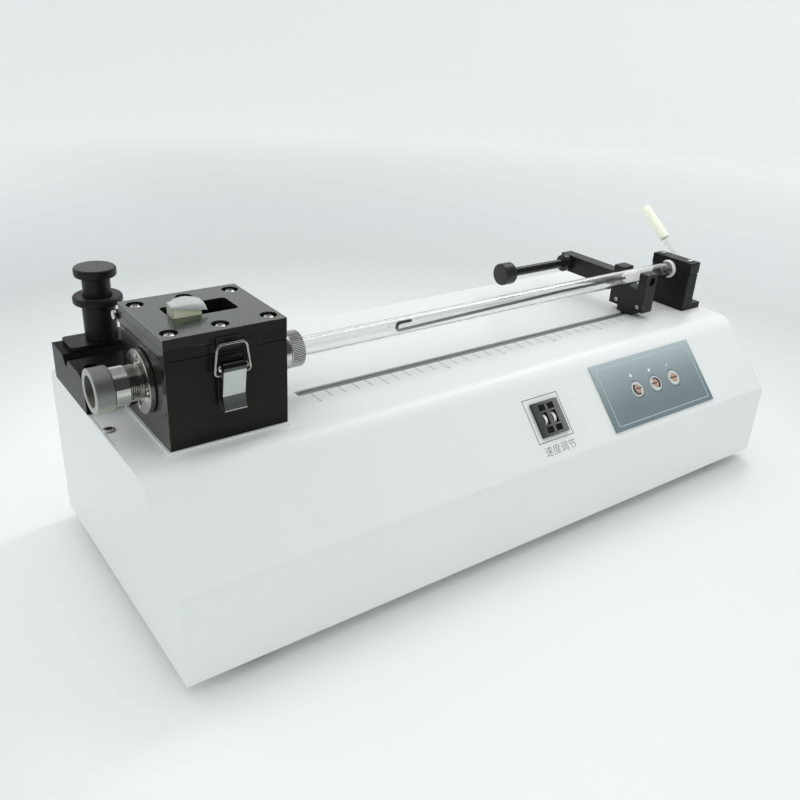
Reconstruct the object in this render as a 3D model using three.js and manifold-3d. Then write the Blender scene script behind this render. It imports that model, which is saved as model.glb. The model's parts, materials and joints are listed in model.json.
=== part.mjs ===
// Benchtop sample feeder for a tube furnace: a white instrument case that carries a gas-tight
// entry chamber, a long quartz tube with a magnet-driven boat rod, and a syringe holder with
// its pusher. Millimetres, +X right along the case, +Y to the back, +Z up.
import * as THREE from 'three';
import { mergeVertices } from 'three/addons/utils/BufferGeometryUtils.js';
import Module from 'manifold-3d';

// Driving dimensions in millimetres. X runs from the left end of the case, Y from its front
// face and Z from its underside. The case's top is the deck, and what stands on it is placed
// from there, from the tube's line or from its neighbour.

// Gaps and facets
const clearance = 0.3;
const overrun = 2;
const fineSides = 36;
const sides = 24;
const screwHoleSides = 20;
const armSides = 16;
const smallSides = 14;
const wireSides = 8;
const bendSteps = 5;
const motorSides = 1;

// Sheet metal case
const caseLength = 492;
const caseDepth = 200;
const caseHeight = 102;
const frontHeight = 55;
const slopeRun = 44;
const sheet = 1.5;
const frontBend = 6;
const topBend = 22;
const rearBend = 3;
const footRadius = 10;
const footToeRadius = 9;
const footHeight = 9;
const footInsetX = 42.5;
const footInsetY = 17;

// Line of the quartz tube and of both chamber ports
const axisY = 91.5;
const axisRise = 30.8;

// Entry chamber
const chamberLeft = 23;
const chamberLength = 70;
const chamberFront = 60;
const chamberDepth = 64.4;
const chamberHeight = 50.9;
const chamberWall = 8;
const seatThickness = 1.4;
const seatMargin = 1.6;
const sealWidth = 2.4;
const sealHeight = 2;
const sealInset = 2.8;

// Travel slot in the top of the case, and the dust strip in it
const slotGap = 23;
const slotEndInset = 52;
const slotWidth = 6.8;
const bladeGap = 2.2;
const stripFlange = 8;
const stripThickness = 1.2;
const stripSink = 0.6;

// Lid
const lidFrameThickness = 6.1;
const lidTopThickness = 6.2;
const windowLength = 38.8;
const windowWidth = 19.6;
const windowShift = 3;
const windowCorner = 2.5;
const sightMargin = 2.5;
const glassMargin = 2;
const glassThickness = 2.2;
const lidScrewSpanX = 56.4;
const lidScrewSpanY = 47.8;
const counterboreRadius = 4.8;
const counterboreDepth = 3;
const hingeStand = 0.5;
const hingeDrop = 2.4;
const knuckleRadius = 3.1;
const knuckleLength = 8;
const hingePinRadius = 1.5;
const hingeHeadRadius = 2.7;
const hingeHeadThickness = 2;
const injectionLength = 16.3;
const injectionDepth = 8.4;
const injectionHeight = 13;
const injectionInset = 0.8;

// Draw latch on the chamber's front, with heights measured down from the chamber's top edge
const latchShift = 0.2;
const latchPlateHalf = 7.1;
const latchPlateThickness = 1;
const latchPlateDrop = 2;
const latchPlateHeight = 31.7;
const latchPivotDrop = 6.9;
const latchGap = 0.5;
const earThickness = 0.7;
const earRadius = 2.3;
const leverHalf = 6.5;
const leverRoll = 3.1;
const leverThickness = 1.1;
const leverReach = 24.6;
const leverLean = 2.6;
const leverLip = 8.2;
const leverFlare = 1.9;
const cheekRadius = 1.8;
const bailWire = 0.75;
const bailGap = 0.8;
const bailSpread = 2.9;
const bailTopHalf = 8.2;
const bailHeight = 17;
const bailCorner = 3.2;
const catchHalf = 6.8;
const catchThickness = 1.2;
const catchRise = 2.2;
const catchHeight = 6.4;
const catchLipThickness = 0.9;

// Furnace port on the chamber's left side
const gasketThickness = 0.8;
const flangeThickness = 2.8;
const flangeMargin = 8;
const portBoreRadius = 8;
const spigotWall = 1.7;
const threadWall = 2;
const threadDepth = 0.5;
const threadPitch = 1.5;
const threadReach = 20.6;
const lockRingLength = 8;
const lockRingStart = 7.4;
const lockRingWall = 0.9;
const capWall = 2;
const capFace = 4.9;

// Tube port on the chamber's right side
const collarThreadWall = 2.9;
const collarStep = 2.3;
const collarLength = 14.4;
const collarThreadLength = 7.6;
const nutWall = 1.7;
const nutLength = 9.4;
const nutFace = 1.6;
const knurlDepth = 0.5;
const knurlCount = 36;

// Quartz tube, its side arm and the sleeve on it
const tubeRadius = 6;
const tubeWall = 1.2;
const tubeEndInset = 1;
const tubeDome = 5;
const armInset = 6.8;
const armRadius = 3;
const armWall = 1.1;
const armLength = 43;
const armTilt = 39;
const sleeveWall = 0.9;
const sleeveStart = 28.5;
const sleeveLength = 32.5;

// End support of the tube
const supportInset = 25.8;
const supportThickness = 11.6;
const supportFrontReach = 20.5;
const supportBackReach = 16.7;
const supportCapHeight = 9.2;
const supportFootLength = 10.8;
const supportFootHeight = 5;
const supportCapStep = 0.5;
const supportCorner = 1;

// Syringe holder
const holderLength = 50;
const holderGap = 0.4;
const holderDepth = 60.1;
const holderHeight = 23;
const holderNose = 8.4;
const grooveOffset = 33.1;
const grooveHalf = 5.4;
const grooveDepth = 6.2;
const holderHoleRadius = 3.7;
const holderHoleInset = 9;
const holderHoleOffset = 13.8;
const holderHoleDepth = 7;

// Spring clamp over the syringe holder
const clampX = 27.5;
const clampInset = 10.7;
const clampPlateLength = 43.8;
const clampPlateWidth = 20.8;
const clampPlateThickness = 2.2;
const clampPlateCorner = 3;
const studShaftRadius = 3;
const studSunk = 14;
const springRoom = 17.2;
const studNeckRadius = 8.2;
const studNeckLength = 16.6;
const studKnobRadius = 12.4;
const studKnobHeight = 5.6;
const sleeveHousingWall = 1.3;
const sleeveFloor = 4.4;
const sleeveHeight = 26.8;
const sleeveFlangeStep = 4.8;
const sleeveFlangeThickness = 4.6;
const springWire = 1.8;
const knobFillet = 0.8;

// Carriage, which stays clear of the tube on three sides
const carriageGap = 36.6;
const carriageThickness = 11.6;
const tubeGapFront = 3.3;
const tubeGapRear = 0.9;
const tubeGapUnder = 1.4;
const carriageLift = 5.3;
const carriageFloat = 1;
const carriageRise = 5.8;
const frontPost = 8.2;
const rearPost = 9.6;
const carriageFootDepth = 15;
const magnetRadius = 3.2;
const magnetLength = 4.6;
const magnetSink = 2.2;
const armBarMargin = 6.9;
const armBarHeight = 14;
const pusherRise = 1;
const pusherRodRadius = 3.6;
const pusherRodLength = 64;
const pusherCollarRadius = 7;
const pusherCollarLength = 5;
const pusherKnobRadius = 8.8;
const pusherKnobLength = 11.6;
const pusherScrewRadius = 2.5;
const pusherScrewLength = 6;

// Boat rod inside the tube
const slugLength = 13.4;
const slugEnd = 1.6;
const slugLead = 5.5;
const rodRadius = 0.8;
const rodFloat = 0.9;
const rodStraight = 70;
const rodReach = 221;
const hookRise = 5.2;
const hookReturn = 11;

// Drive under the slot
const screwDrop = 42;
const guideDrop = 28;
const screwRadius = 4;
const guideRadius = 4;
const frameOverhang = 12;
const framePlate = 6;
const frameBase = 4;
const frameWidth = 46;
const frameRise = 18;
const motorSize = 42;
const motorLength = 34;
const motorChamfer = 4;
const nutBlockLength = 20;
const nutBlockWidth = 24;
const nutBlockRise = 12;
const nutBlockDrop = 8;
const bladeThickness = 1.2;
const bladeWidth = 10;

// Keypad on the sloping panel. V is measured up the slope from its lower edge.
const overlayInset = 62.4;
const overlayWidth = 109.6;
const overlayBottom = 5.8;
const overlayHeight = 50;
const overlayThickness = 0.8;
const keyOffset = 36.2;
const keyPitch = 20.5;
const keyRise = 24.8;
const keyRadius = 6.5;
const keyProud = 0.6;
const keyStem = 6;
const keyStemRadius = 2.6;
const keyCount = 3;

// Two-digit thumbwheel switch on the slope
const switchGap = 52.4;
const switchCheek = 5.25;
const switchRim = 2.4;
const switchProud = 2.4;
const switchBodyDepth = 22;
const switchBodyMargin = 1.4;
const digitPitch = 8;
const wheelWidth = 4;
const wheelGap = 1;
const wheelSink = 1;
const digitWindowWidth = 5;
const digitWindowHeight = 8.6;
const stepButtonWidth = 5;
const stepButtonHeight = 3.6;
const stepButtonOffset = 7.8;
const stepButtonSink = 0.5;
const stepButtonDepth = 4.6;
const stepTravel = 1.5;

// Pieces on the case's floor
const boardInset = 72;
const boardLength = 170;
const boardFront = 12;
const boardDepth = 44;
const boardThickness = 1.6;
const boardStand = 9;
const boardStandRadius = 3;
const boardStandInset = 6;
const boardStandSides = 8;
const boardPartHeight = 11;
const supplyLeft = 150;
const supplyLength = 100;
const supplyBackGap = 2;
const supplyDepth = 46;
const supplyHeight = 32;
const supplyTerminal = 9;
const supplyTerminalHeight = 16;

// Mains inlet with its rocker switch, in the back of the case
const inletInset = 64;
const inletZ = 40;
const inletWall = 3.6;
const inletCheek = 3;
const inletDepth = 26;
const inletFlange = 3;
const inletLip = 2.4;
const socketWidth = 21;
const socketHeight = 16;
const socketDepth = 17;
const rockerWidth = 12.6;
const rockerHeight = 17;
const rockerDepth = 9;
const rockerFoot = 4.5;
const rockerProud = 2.4;
const rockerTilt = 9;
const rockerSwing = 1.6;
const rockerPocketDepth = 15;

// Shares that shape single outlines
const lidScrewShares = [-0.5, 0, 0.5];
const threadShares = [0.75, 0.5, 0.25];
const bailFootCornerShare = 0.6;
const nearlyRoundShare = 0.95;
const hookCornerShare = 0.45;
const boardPartShares = [
  { along: 0.16, across: 0.5, size: 0.2 },
  { along: 0.42, across: 0.4, size: 0.12 },
  { along: 0.7, across: 0.6, size: 0.16 },
];

// Places that follow from the sizes above

const axisZ = caseHeight + axisRise;
const axis = { y: axisY, z: axisZ };
const bore = tubeRadius - tubeWall;
const tubeHole = tubeRadius + clearance;
const spigotRadius = portBoreRadius + spigotWall;
const portHoleRadius = spigotRadius + clearance;
const threadRadius = portBoreRadius + threadWall;
const slotStart = chamberLeft + chamberLength + slotGap;
const slotEnd = caseLength - slotEndInset;
const slotFront = axisY - slotWidth / 2;
const slotBack = axisY + slotWidth / 2;
const tubeRight = caseLength - tubeEndInset;
const supportLeft = caseLength - supportInset;
const holderFront = chamberFront + chamberDepth + seatMargin + holderGap;
const holderBack = holderFront + holderDepth;
const holderTop = caseHeight + holderHeight;
const grooveCentre = holderFront + grooveOffset;
const carriageLeft = supportLeft - carriageGap - carriageThickness;
const overlayLeft = caseLength - overlayInset - overlayWidth;
const keyV = overlayBottom + keyRise;
const switchX = overlayLeft - switchGap;
const inletX = caseLength - inletInset;

// Solids

const wasm = await Module();
wasm.setup();

function weld(geometry) {
  const bare = geometry.clone();
  for (const name of Object.keys(bare.attributes)) {
    if (name !== 'position') bare.deleteAttribute(name);
  }
  return mergeVertices(bare);
}

function solidOf(geometry) {
  const welded = weld(geometry);
  const corners = welded.index.array;
  const points = welded.attributes.position;
  const faces = [];
  let volume = 0;
  const a = new THREE.Vector3();
  const b = new THREE.Vector3();
  const c = new THREE.Vector3();
  for (let i = 0; i < corners.length; i += 3) {
    const [p, q, r] = corners.slice(i, i + 3);
    if (p === q || q === r || r === p) continue;
    faces.push(p, q, r);
    a.fromBufferAttribute(points, p);
    b.fromBufferAttribute(points, q);
    c.fromBufferAttribute(points, r);
    volume += a.dot(b.cross(c));
  }
  // A profile may be drawn either way round, so an inside-out surface is turned over.
  if (volume < 0) faces.reverse();
  return new wasm.Manifold(new wasm.Mesh({
    numProp: 3,
    vertProperties: new Float32Array(points.array),
    triVerts: new Uint32Array(faces),
  }));
}

function geometryOf(solid) {
  const mesh = solid.getMesh();
  const geometry = new THREE.BufferGeometry();
  geometry.setAttribute('position', new THREE.BufferAttribute(mesh.vertProperties, 3));
  geometry.setIndex(new THREE.BufferAttribute(mesh.triVerts, 1));
  geometry.computeVertexNormals();
  return geometry;
}

function combine(first, others, operation) {
  let solid = solidOf(first);
  for (const other of others) solid = solid[operation](solidOf(other));
  return geometryOf(solid);
}

function join(first, ...others) {
  return combine(first, others, 'add');
}

function cut(first, ...others) {
  return combine(first, others, 'subtract');
}

function block([x0, x1], [y0, y1], [z0, z1]) {
  const geometry = new THREE.BoxGeometry(x1 - x0, y1 - y0, z1 - z0);
  return geometry.translate((x0 + x1) / 2, (y0 + y1) / 2, (z0 + z1) / 2);
}

// Turns a shape made about the Y axis so that its axis lies along X or Z.
function along(axis, geometry) {
  if (axis === 'x') return geometry.rotateZ(-Math.PI / 2);
  if (axis === 'z') return geometry.rotateX(Math.PI / 2);
  return geometry;
}

function bar(axis, radius, [from, to], centre, count = sides) {
  const geometry = along(axis, new THREE.CylinderGeometry(radius, radius, to - from, count));
  const middle = (from + to) / 2;
  const place = { x: 0, y: 0, z: 0, ...centre, [axis]: middle };
  return geometry.translate(place.x, place.y, place.z);
}

// A turned piece: profile holds [radius, distance along the axis] pairs, and starts and ends on
// the axis or closes on itself.
function turned(axis, profile, centre, count = sides) {
  const points = profile.map(([radius, distance]) => new THREE.Vector2(radius, distance));
  if (THREE.ShapeUtils.area(points) < 0) points.reverse();
  if (points[0].x !== 0) points.push(points[0].clone());
  const geometry = along(axis, new THREE.LatheGeometry(points, count));
  const place = { x: 0, y: 0, z: 0, ...centre };
  return geometry.translate(place.x, place.y, place.z);
}

function ring(axis, outer, inner, [from, to], centre, count = sides) {
  return turned(axis, [[outer, from], [outer, to], [inner, to], [inner, from]], centre, count);
}

// Rounds the corners of an outline given as [u, v, radius], radius left out where it is sharp.
function rounded(corners, steps = bendSteps) {
  const points = [];
  corners.forEach(([u, v, radius = 0], i) => {
    const here = new THREE.Vector2(u, v);
    if (radius === 0) {
      points.push(here);
      return;
    }
    const before = corners[(i + corners.length - 1) % corners.length];
    const after = corners[(i + 1) % corners.length];
    const back = new THREE.Vector2(before[0], before[1]).sub(here).normalize();
    const ahead = new THREE.Vector2(after[0], after[1]).sub(here).normalize();
    const half = Math.acos(back.dot(ahead)) / 2;
    const inward = back.clone().add(ahead).normalize();
    const centre = here.clone().addScaledVector(inward, radius / Math.sin(half));
    const start = here.clone().addScaledVector(back, radius / Math.tan(half)).sub(centre);
    const end = here.clone().addScaledVector(ahead, radius / Math.tan(half)).sub(centre);
    const turn = Math.atan2(start.cross(end), start.dot(end));
    for (let k = 0; k <= steps; k += 1) {
      const angle = start.angle() + (turn * k) / steps;
      points.push(new THREE.Vector2(Math.cos(angle), Math.sin(angle)).multiplyScalar(radius).add(centre));
    }
  });
  return points;
}

// The corners of an open path moved sideways by a distance, for the inside of a bent sheet.
function inset(corners, distance) {
  return corners.map(([u, v, radius = 0], i) => {
    const here = new THREE.Vector2(u, v);
    const normals = [];
    for (const [from, to] of [[i - 1, i], [i, i + 1]]) {
      if (from < 0 || to >= corners.length) continue;
      const start = new THREE.Vector2(corners[from][0], corners[from][1]);
      const run = new THREE.Vector2(corners[to][0], corners[to][1]).sub(start).normalize();
      normals.push(new THREE.Vector2(run.y, -run.x));
    }
    const first = normals[0];
    const last = normals[normals.length - 1];
    const shift = first.clone().add(last).multiplyScalar(distance / (1 + first.dot(last)));
    return [here.x + shift.x, here.y + shift.y, Math.max(radius - distance, 0)];
  });
}

const extrudeDirections = {
  x: new THREE.Matrix4().makeBasis(
    new THREE.Vector3(0, 1, 0),
    new THREE.Vector3(0, 0, 1),
    new THREE.Vector3(1, 0, 0),
  ),
  y: new THREE.Matrix4().makeBasis(
    new THREE.Vector3(1, 0, 0),
    new THREE.Vector3(0, 0, 1),
    new THREE.Vector3(0, -1, 0),
  ),
  z: new THREE.Matrix4(),
};

// Extrudes an outline along an axis. The outline is (y, z) for x, (x, z) for y, (x, y) for z.
function extruded(axis, outline, [from, to]) {
  const shape = new THREE.Shape(outline);
  const geometry = new THREE.ExtrudeGeometry(shape, { depth: to - from, bevelEnabled: false });
  geometry.applyMatrix4(extrudeDirections[axis]);
  if (axis === 'x') return geometry.translate(from, 0, 0);
  if (axis === 'y') return geometry.translate(0, to, 0);
  return geometry.translate(0, 0, from);
}

function rectangle([u0, u1], [v0, v1], radius = 0, steps = bendSteps) {
  return rounded([[u0, v0, radius], [u1, v0, radius], [u1, v1, radius], [u0, v1, radius]], steps);
}

// A path that steps from point to point, so that a wire keeps each of its own points.
class PointPath extends THREE.Curve {
  constructor(points) {
    super();
    this.points = points;
  }

  getPoint(t, target = new THREE.Vector3()) {
    const place = t * (this.points.length - 1);
    const i = Math.min(Math.floor(place), this.points.length - 2);
    return target.lerpVectors(this.points[i], this.points[i + 1], place - i);
  }

  getUtoTmapping(u) {
    return u;
  }
}

// A round wire or rod bent along a list of points.
function bent(points, radius, count = wireSides) {
  const path = new PointPath(points);
  const steps = points.length - 1;
  const section = [];
  for (let k = 0; k < count; k += 1) {
    const angle = (2 * Math.PI * k) / count;
    section.push(new THREE.Vector2(Math.cos(angle), Math.sin(angle)).multiplyScalar(radius));
  }
  return new THREE.ExtrudeGeometry(new THREE.Shape(section), { steps, extrudePath: path });
}

function around(middle, size) {
  return [middle - size / 2, middle + size / 2];
}

function widen([low, high], by) {
  return [low - by, high + by];
}

// Materials

function finish(color, roughness, metalness) {
  return new THREE.MeshStandardMaterial({ color, roughness, metalness, flatShading: true });
}

const whitePaint = finish('#e6eaeb', 0.45, 0);
const whitePlastic = finish('#e9ecec', 0.5, 0);
const blackRubber = finish('#1a1a1b', 0.85, 0);
const greyStrip = finish('#7d8789', 0.7, 0);
const blackAnodised = finish('#1d201f', 0.4, 0.6);
const blackOxide = finish('#17191a', 0.45, 0.5);
const brightSteel = finish('#c9cccb', 0.25, 1);
const satinSteel = finish('#a9adac', 0.45, 1);
const mattAluminium = finish('#b4b8b6', 0.5, 1);
const clearGlass = finish('#eef4f4', 0.05, 0);
const clearAcrylic = finish('#d5dcc0', 0.15, 0);
const siliconeYellow = finish('#e3e6cc', 0.6, 0);
const overlayGrey = finish('#8d9da3', 0.4, 0.1);
const blackPlastic = finish('#1b1c1d', 0.5, 0);
const greenBoard = finish('#1f5b3a', 0.6, 0);
const whiteSlug = finish('#f0f1ef', 0.3, 0);

const part = new THREE.Group();

function add(name, geometry, material, parent = part) {
  const mesh = new THREE.Mesh(geometry, material);
  mesh.name = name;
  parent.add(mesh);
}

// The sloping panel has a frame of its own: X along the case, Y up the slope, Z out of it.
const panel = new THREE.Group();
panel.position.set(0, 0, frontHeight);
panel.rotation.x = Math.atan2(caseHeight - frontHeight, slopeRun);
panel.updateMatrix();
part.add(panel);

function onPanel(geometry) {
  return geometry.applyMatrix4(panel.matrix);
}

// Case: a folded tray of floor and end walls, and a bent cover of front, slope, top and back

const coverPath = [
  [0, 0],
  [0, frontHeight, frontBend],
  [slopeRun, caseHeight, topBend],
  [caseDepth, caseHeight, rearBend],
  [caseDepth, 0],
];
const coverOutside = rounded(coverPath);
const coverInside = rounded(inset(coverPath, sheet));
const keyXs = [];
for (let k = 0; k < keyCount; k += 1) {
  keyXs.push(overlayLeft + keyOffset + k * keyPitch);
}
const throughPanel = [-sheet - overrun, overrun];
const switchWidth = digitPitch + digitWindowWidth + 2 * switchCheek;
const switchHeight = 2 * stepButtonOffset + stepButtonHeight + 2 * switchRim;
const switchBodyWidth = switchWidth - 2 * switchBodyMargin;
const switchBodyHeight = switchHeight - 2 * switchBodyMargin;
const rockerPocketHeight = rockerHeight + 2 * rockerSwing;
const inletWidth = socketWidth + 2 * inletCheek;
const inletHeight = socketHeight + rockerPocketHeight + 3 * inletWall;
const coverCuts = [
  block([slotStart, slotEnd], [slotFront, slotBack], [caseHeight - sheet - overrun, caseHeight + overrun]),
  onPanel(block(
    around(switchX, switchBodyWidth + 2 * clearance),
    around(keyV, switchBodyHeight + 2 * clearance),
    throughPanel,
  )),
  block(
    around(inletX, inletWidth + 2 * clearance),
    [caseDepth - sheet - overrun, caseDepth + overrun],
    around(inletZ, inletHeight + 2 * clearance),
  ),
];
for (const x of keyXs) {
  coverCuts.push(onPanel(bar('z', keyRadius + clearance, throughPanel, { x, y: keyV })));
}
const coverSpan = [sheet + clearance, caseLength - sheet - clearance];
const coverSheet = extruded('x', [...coverOutside, ...coverInside.reverse()], coverSpan);
add('cover_shell', cut(coverSheet, ...coverCuts), whitePaint);

const trayFloor = block(
  [0, caseLength],
  [sheet + clearance, caseDepth - sheet - clearance],
  [0, sheet],
);
const leftWall = extruded('x', coverOutside, [0, sheet]);
const rightWall = extruded('x', coverOutside, [caseLength - sheet, caseLength]);
add('base_tray', join(trayFloor, leftWall, rightWall), whitePaint);

const footPlaces = {
  foot_front_left: [footInsetX, footInsetY],
  foot_front_right: [caseLength - footInsetX, footInsetY],
  foot_rear_left: [footInsetX, caseDepth - footInsetY],
  foot_rear_right: [caseLength - footInsetX, caseDepth - footInsetY],
};
for (const [name, [x, y]] of Object.entries(footPlaces)) {
  const profile = [[0, -footHeight], [footToeRadius, -footHeight], [footRadius, 0], [0, 0]];
  add(name, turned('z', profile, { x, y }), blackRubber);
}

// Dust strip: a flange under the cover and a rib that fills the slot but for the blade's gap
const coverUnder = caseHeight - sheet;
const stripBack = slotBack - bladeGap;
add('slot_strip', join(
  block(
    [slotStart - stripFlange, slotEnd + stripFlange],
    [slotFront - stripFlange, stripBack],
    [coverUnder - stripThickness, coverUnder],
  ),
  block(
    [slotStart + clearance, slotEnd - clearance],
    [slotFront + clearance, stripBack],
    [coverUnder - stripThickness, caseHeight - stripSink],
  ),
), greyStrip);

// Entry chamber on its seat plate
const chamberSpanX = [chamberLeft, chamberLeft + chamberLength];
const chamberSpanY = [chamberFront, chamberFront + chamberDepth];
const chamberBottom = caseHeight + seatThickness;
const chamberTop = chamberBottom + chamberHeight;

add('chamber_seat_plate', block(
  widen(chamberSpanX, seatMargin),
  widen(chamberSpanY, seatMargin),
  [caseHeight, chamberBottom],
), whitePaint);

// The hinge axis lies behind the lid, level with its lower layer.
const lidFrameBottom = chamberTop + clearance;
const lidFrameTop = lidFrameBottom + lidFrameThickness;
const lidTop = lidFrameTop + lidTopThickness;
const hinge = { y: chamberSpanY[1] + knuckleRadius + hingeStand, z: lidFrameTop - hingeDrop };
const bodyKnuckleSpan = widen(chamberSpanX, -knuckleLength - clearance);
const sealSpanX = widen(chamberSpanX, -sealInset);
const sealSpanY = widen(chamberSpanY, -sealInset);
const hingePinHole = (span) => bar('x', hingePinRadius + clearance, widen(span, overrun), hinge, smallSides);

function sealRing(grow, spanZ) {
  return cut(
    block(widen(sealSpanX, grow), widen(sealSpanY, grow), spanZ),
    block(
      widen(sealSpanX, -sealWidth - grow),
      widen(sealSpanY, -sealWidth - grow),
      widen(spanZ, overrun),
    ),
  );
}

const hingeWeb = block(
  bodyKnuckleSpan,
  [chamberSpanY[1] - chamberWall, hinge.y + knuckleRadius],
  [chamberTop - chamberWall, hinge.z],
);
const hingeWebRelief = block(
  widen(bodyKnuckleSpan, overrun),
  [chamberSpanY[1] - chamberWall - overrun, chamberSpanY[1] + clearance],
  [chamberTop, hinge.z + knuckleRadius + overrun],
);
add('chamber_body', cut(
  join(
    block(chamberSpanX, chamberSpanY, [chamberBottom, chamberTop]),
    cut(
      join(hingeWeb, bar('x', knuckleRadius, bodyKnuckleSpan, hinge)),
      hingeWebRelief,
    ),
  ),
  block(
    widen(chamberSpanX, -chamberWall),
    widen(chamberSpanY, -chamberWall),
    [chamberBottom + chamberWall, chamberTop + overrun],
  ),
  bar('x', portHoleRadius, widen(chamberSpanX, overrun), axis),
  sealRing(clearance, [chamberTop - sealHeight - clearance, chamberTop + overrun]),
  hingePinHole(bodyKnuckleSpan),
), blackAnodised);

add('chamber_seal', sealRing(0, [chamberTop - sealHeight, chamberTop]), blackRubber);

// Lid: a frame and a top plate clamp the window between them
const windowCentre = {
  x: chamberLeft + chamberLength / 2,
  y: chamberFront + chamberDepth / 2 + windowShift,
};
const windowSpanX = around(windowCentre.x, windowLength);
const windowSpanY = around(windowCentre.y, windowWidth);
const glassSpanX = widen(windowSpanX, glassMargin);
const glassSpanY = widen(windowSpanY, glassMargin);
const glassBottom = lidFrameTop - clearance - glassThickness;
let lidFrame = block(chamberSpanX, chamberSpanY, [lidFrameBottom, lidFrameTop]);
const lidKnuckleSpans = [
  [chamberSpanX[0], chamberSpanX[0] + knuckleLength],
  [chamberSpanX[1] - knuckleLength, chamberSpanX[1]],
];
for (const span of lidKnuckleSpans) {
  const tab = block(
    span,
    [chamberSpanY[1] - knuckleRadius, hinge.y],
    [lidFrameBottom, lidFrameTop],
  );
  lidFrame = join(lidFrame, tab, bar('x', knuckleRadius, span, hinge));
  lidFrame = cut(lidFrame, hingePinHole(span));
}
add('lid_frame', cut(
  lidFrame,
  block(
    widen(windowSpanX, -sightMargin),
    widen(windowSpanY, -sightMargin),
    widen([lidFrameBottom, lidFrameTop], overrun),
  ),
  block(
    widen(glassSpanX, clearance),
    widen(glassSpanY, clearance),
    [glassBottom, lidFrameTop + overrun],
  ),
), blackAnodised);

add('window_glass', block(glassSpanX, glassSpanY, [glassBottom, glassBottom + glassThickness]), clearGlass);

const lidTopCuts = [extruded(
  'z',
  rectangle(windowSpanX, windowSpanY, windowCorner),
  widen([lidFrameTop, lidTop], overrun),
)];
for (const shareX of lidScrewShares) {
  for (const side of [-1, 1]) {
    const x = windowCentre.x + shareX * lidScrewSpanX;
    const y = chamberFront + chamberDepth / 2 + (side * lidScrewSpanY) / 2;
    const span = [lidTop - counterboreDepth, lidTop + overrun];
    lidTopCuts.push(bar('z', counterboreRadius, span, { x, y }, screwHoleSides));
  }
}
add('lid_top_plate', cut(
  block(chamberSpanX, chamberSpanY, [lidFrameTop, lidTop]),
  ...lidTopCuts,
), blackAnodised);

const pinLeft = chamberSpanX[0] - clearance;
const pinRight = chamberSpanX[1] + clearance;
add('hinge_pin', turned('x', [
  [0, pinLeft - hingeHeadThickness],
  [hingeHeadRadius, pinLeft - hingeHeadThickness],
  [hingeHeadRadius, pinLeft],
  [hingePinRadius, pinLeft],
  [hingePinRadius, pinRight],
  [hingeHeadRadius, pinRight],
  [hingeHeadRadius, pinRight + hingeHeadThickness],
  [0, pinRight + hingeHeadThickness],
], hinge, smallSides), brightSteel);

// Clear block standing on the window glass in the left half of the recess
const injectionLeft = windowSpanX[0] + injectionInset;
const injectionFront = windowSpanY[0] + injectionInset;
const injectionX = [injectionLeft, injectionLeft + injectionLength];
const injectionY = [injectionFront, injectionFront + injectionDepth];
const injectionBottom = glassBottom + glassThickness;
const injectionTop = injectionBottom + injectionHeight;
add('injection_block', block(injectionX, injectionY, [injectionBottom, injectionTop]), clearAcrylic);

// Catch on the lid: a plate whose lip stands just behind the bail
const latchX = chamberLeft + chamberLength / 2 + latchShift;
const pivot = {
  y: chamberFront - latchPlateThickness - latchGap - leverRoll,
  z: chamberTop - latchPivotDrop,
};
const bailDrop = earRadius + bailGap + bailWire;
const bailFoot = pivot.z - bailDrop;
const bailTop = bailFoot + bailHeight;
const catchBottom = lidFrameBottom + catchRise;
const catchTop = catchBottom + catchHeight;
const catchLipTop = bailTop - clearance;
const catchLipY = [pivot.y + bailWire + clearance, chamberFront - catchThickness / 2];
add('lid_catch', join(
  block(
    around(latchX, 2 * catchHalf),
    [chamberFront - catchThickness, chamberFront],
    [catchBottom, catchTop],
  ),
  block(
    around(latchX, 2 * catchHalf),
    catchLipY,
    [catchLipTop - 2 * catchLipThickness, catchLipTop - catchLipThickness],
  ),
  block(
    around(latchX, 2 * catchHalf),
    [catchLipY[0], catchLipY[0] + catchLipThickness],
    [catchLipTop - 2 * catchLipThickness, catchLipTop],
  ),
), blackOxide);

// Latch base: a plate with a rounded tail and two ears that hold the lever
const earOuter = leverHalf + clearance + earThickness;
const latchPlateTop = chamberTop - latchPlateDrop;
const latchPlateBottom = latchPlateTop - latchPlateHeight;
const plateOutline = rounded([
  [latchX - latchPlateHalf, latchPlateBottom, latchPlateHalf / 2],
  [latchX + latchPlateHalf, latchPlateBottom, latchPlateHalf / 2],
  [latchX + latchPlateHalf, pivot.z - 2 * earRadius],
  [latchX + earOuter, pivot.z - earRadius],
  [latchX + earOuter, latchPlateTop],
  [latchX - earOuter, latchPlateTop],
  [latchX - earOuter, pivot.z - earRadius],
  [latchX - latchPlateHalf, pivot.z - 2 * earRadius],
]);
const plateSpanY = [chamberFront - latchPlateThickness, chamberFront];
const earOutline = rounded([
  [chamberFront, pivot.z - earRadius],
  [pivot.y - earRadius, pivot.z - earRadius, earRadius * nearlyRoundShare],
  [pivot.y - earRadius, pivot.z + earRadius, earRadius * nearlyRoundShare],
  [chamberFront, pivot.z + earRadius],
]);
add('latch_base', join(
  extruded('y', plateOutline, plateSpanY),
  extruded('x', earOutline, [latchX - earOuter, latchX - earOuter + earThickness]),
  extruded('x', earOutline, [latchX + earOuter - earThickness, latchX + earOuter]),
), brightSteel);

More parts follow.
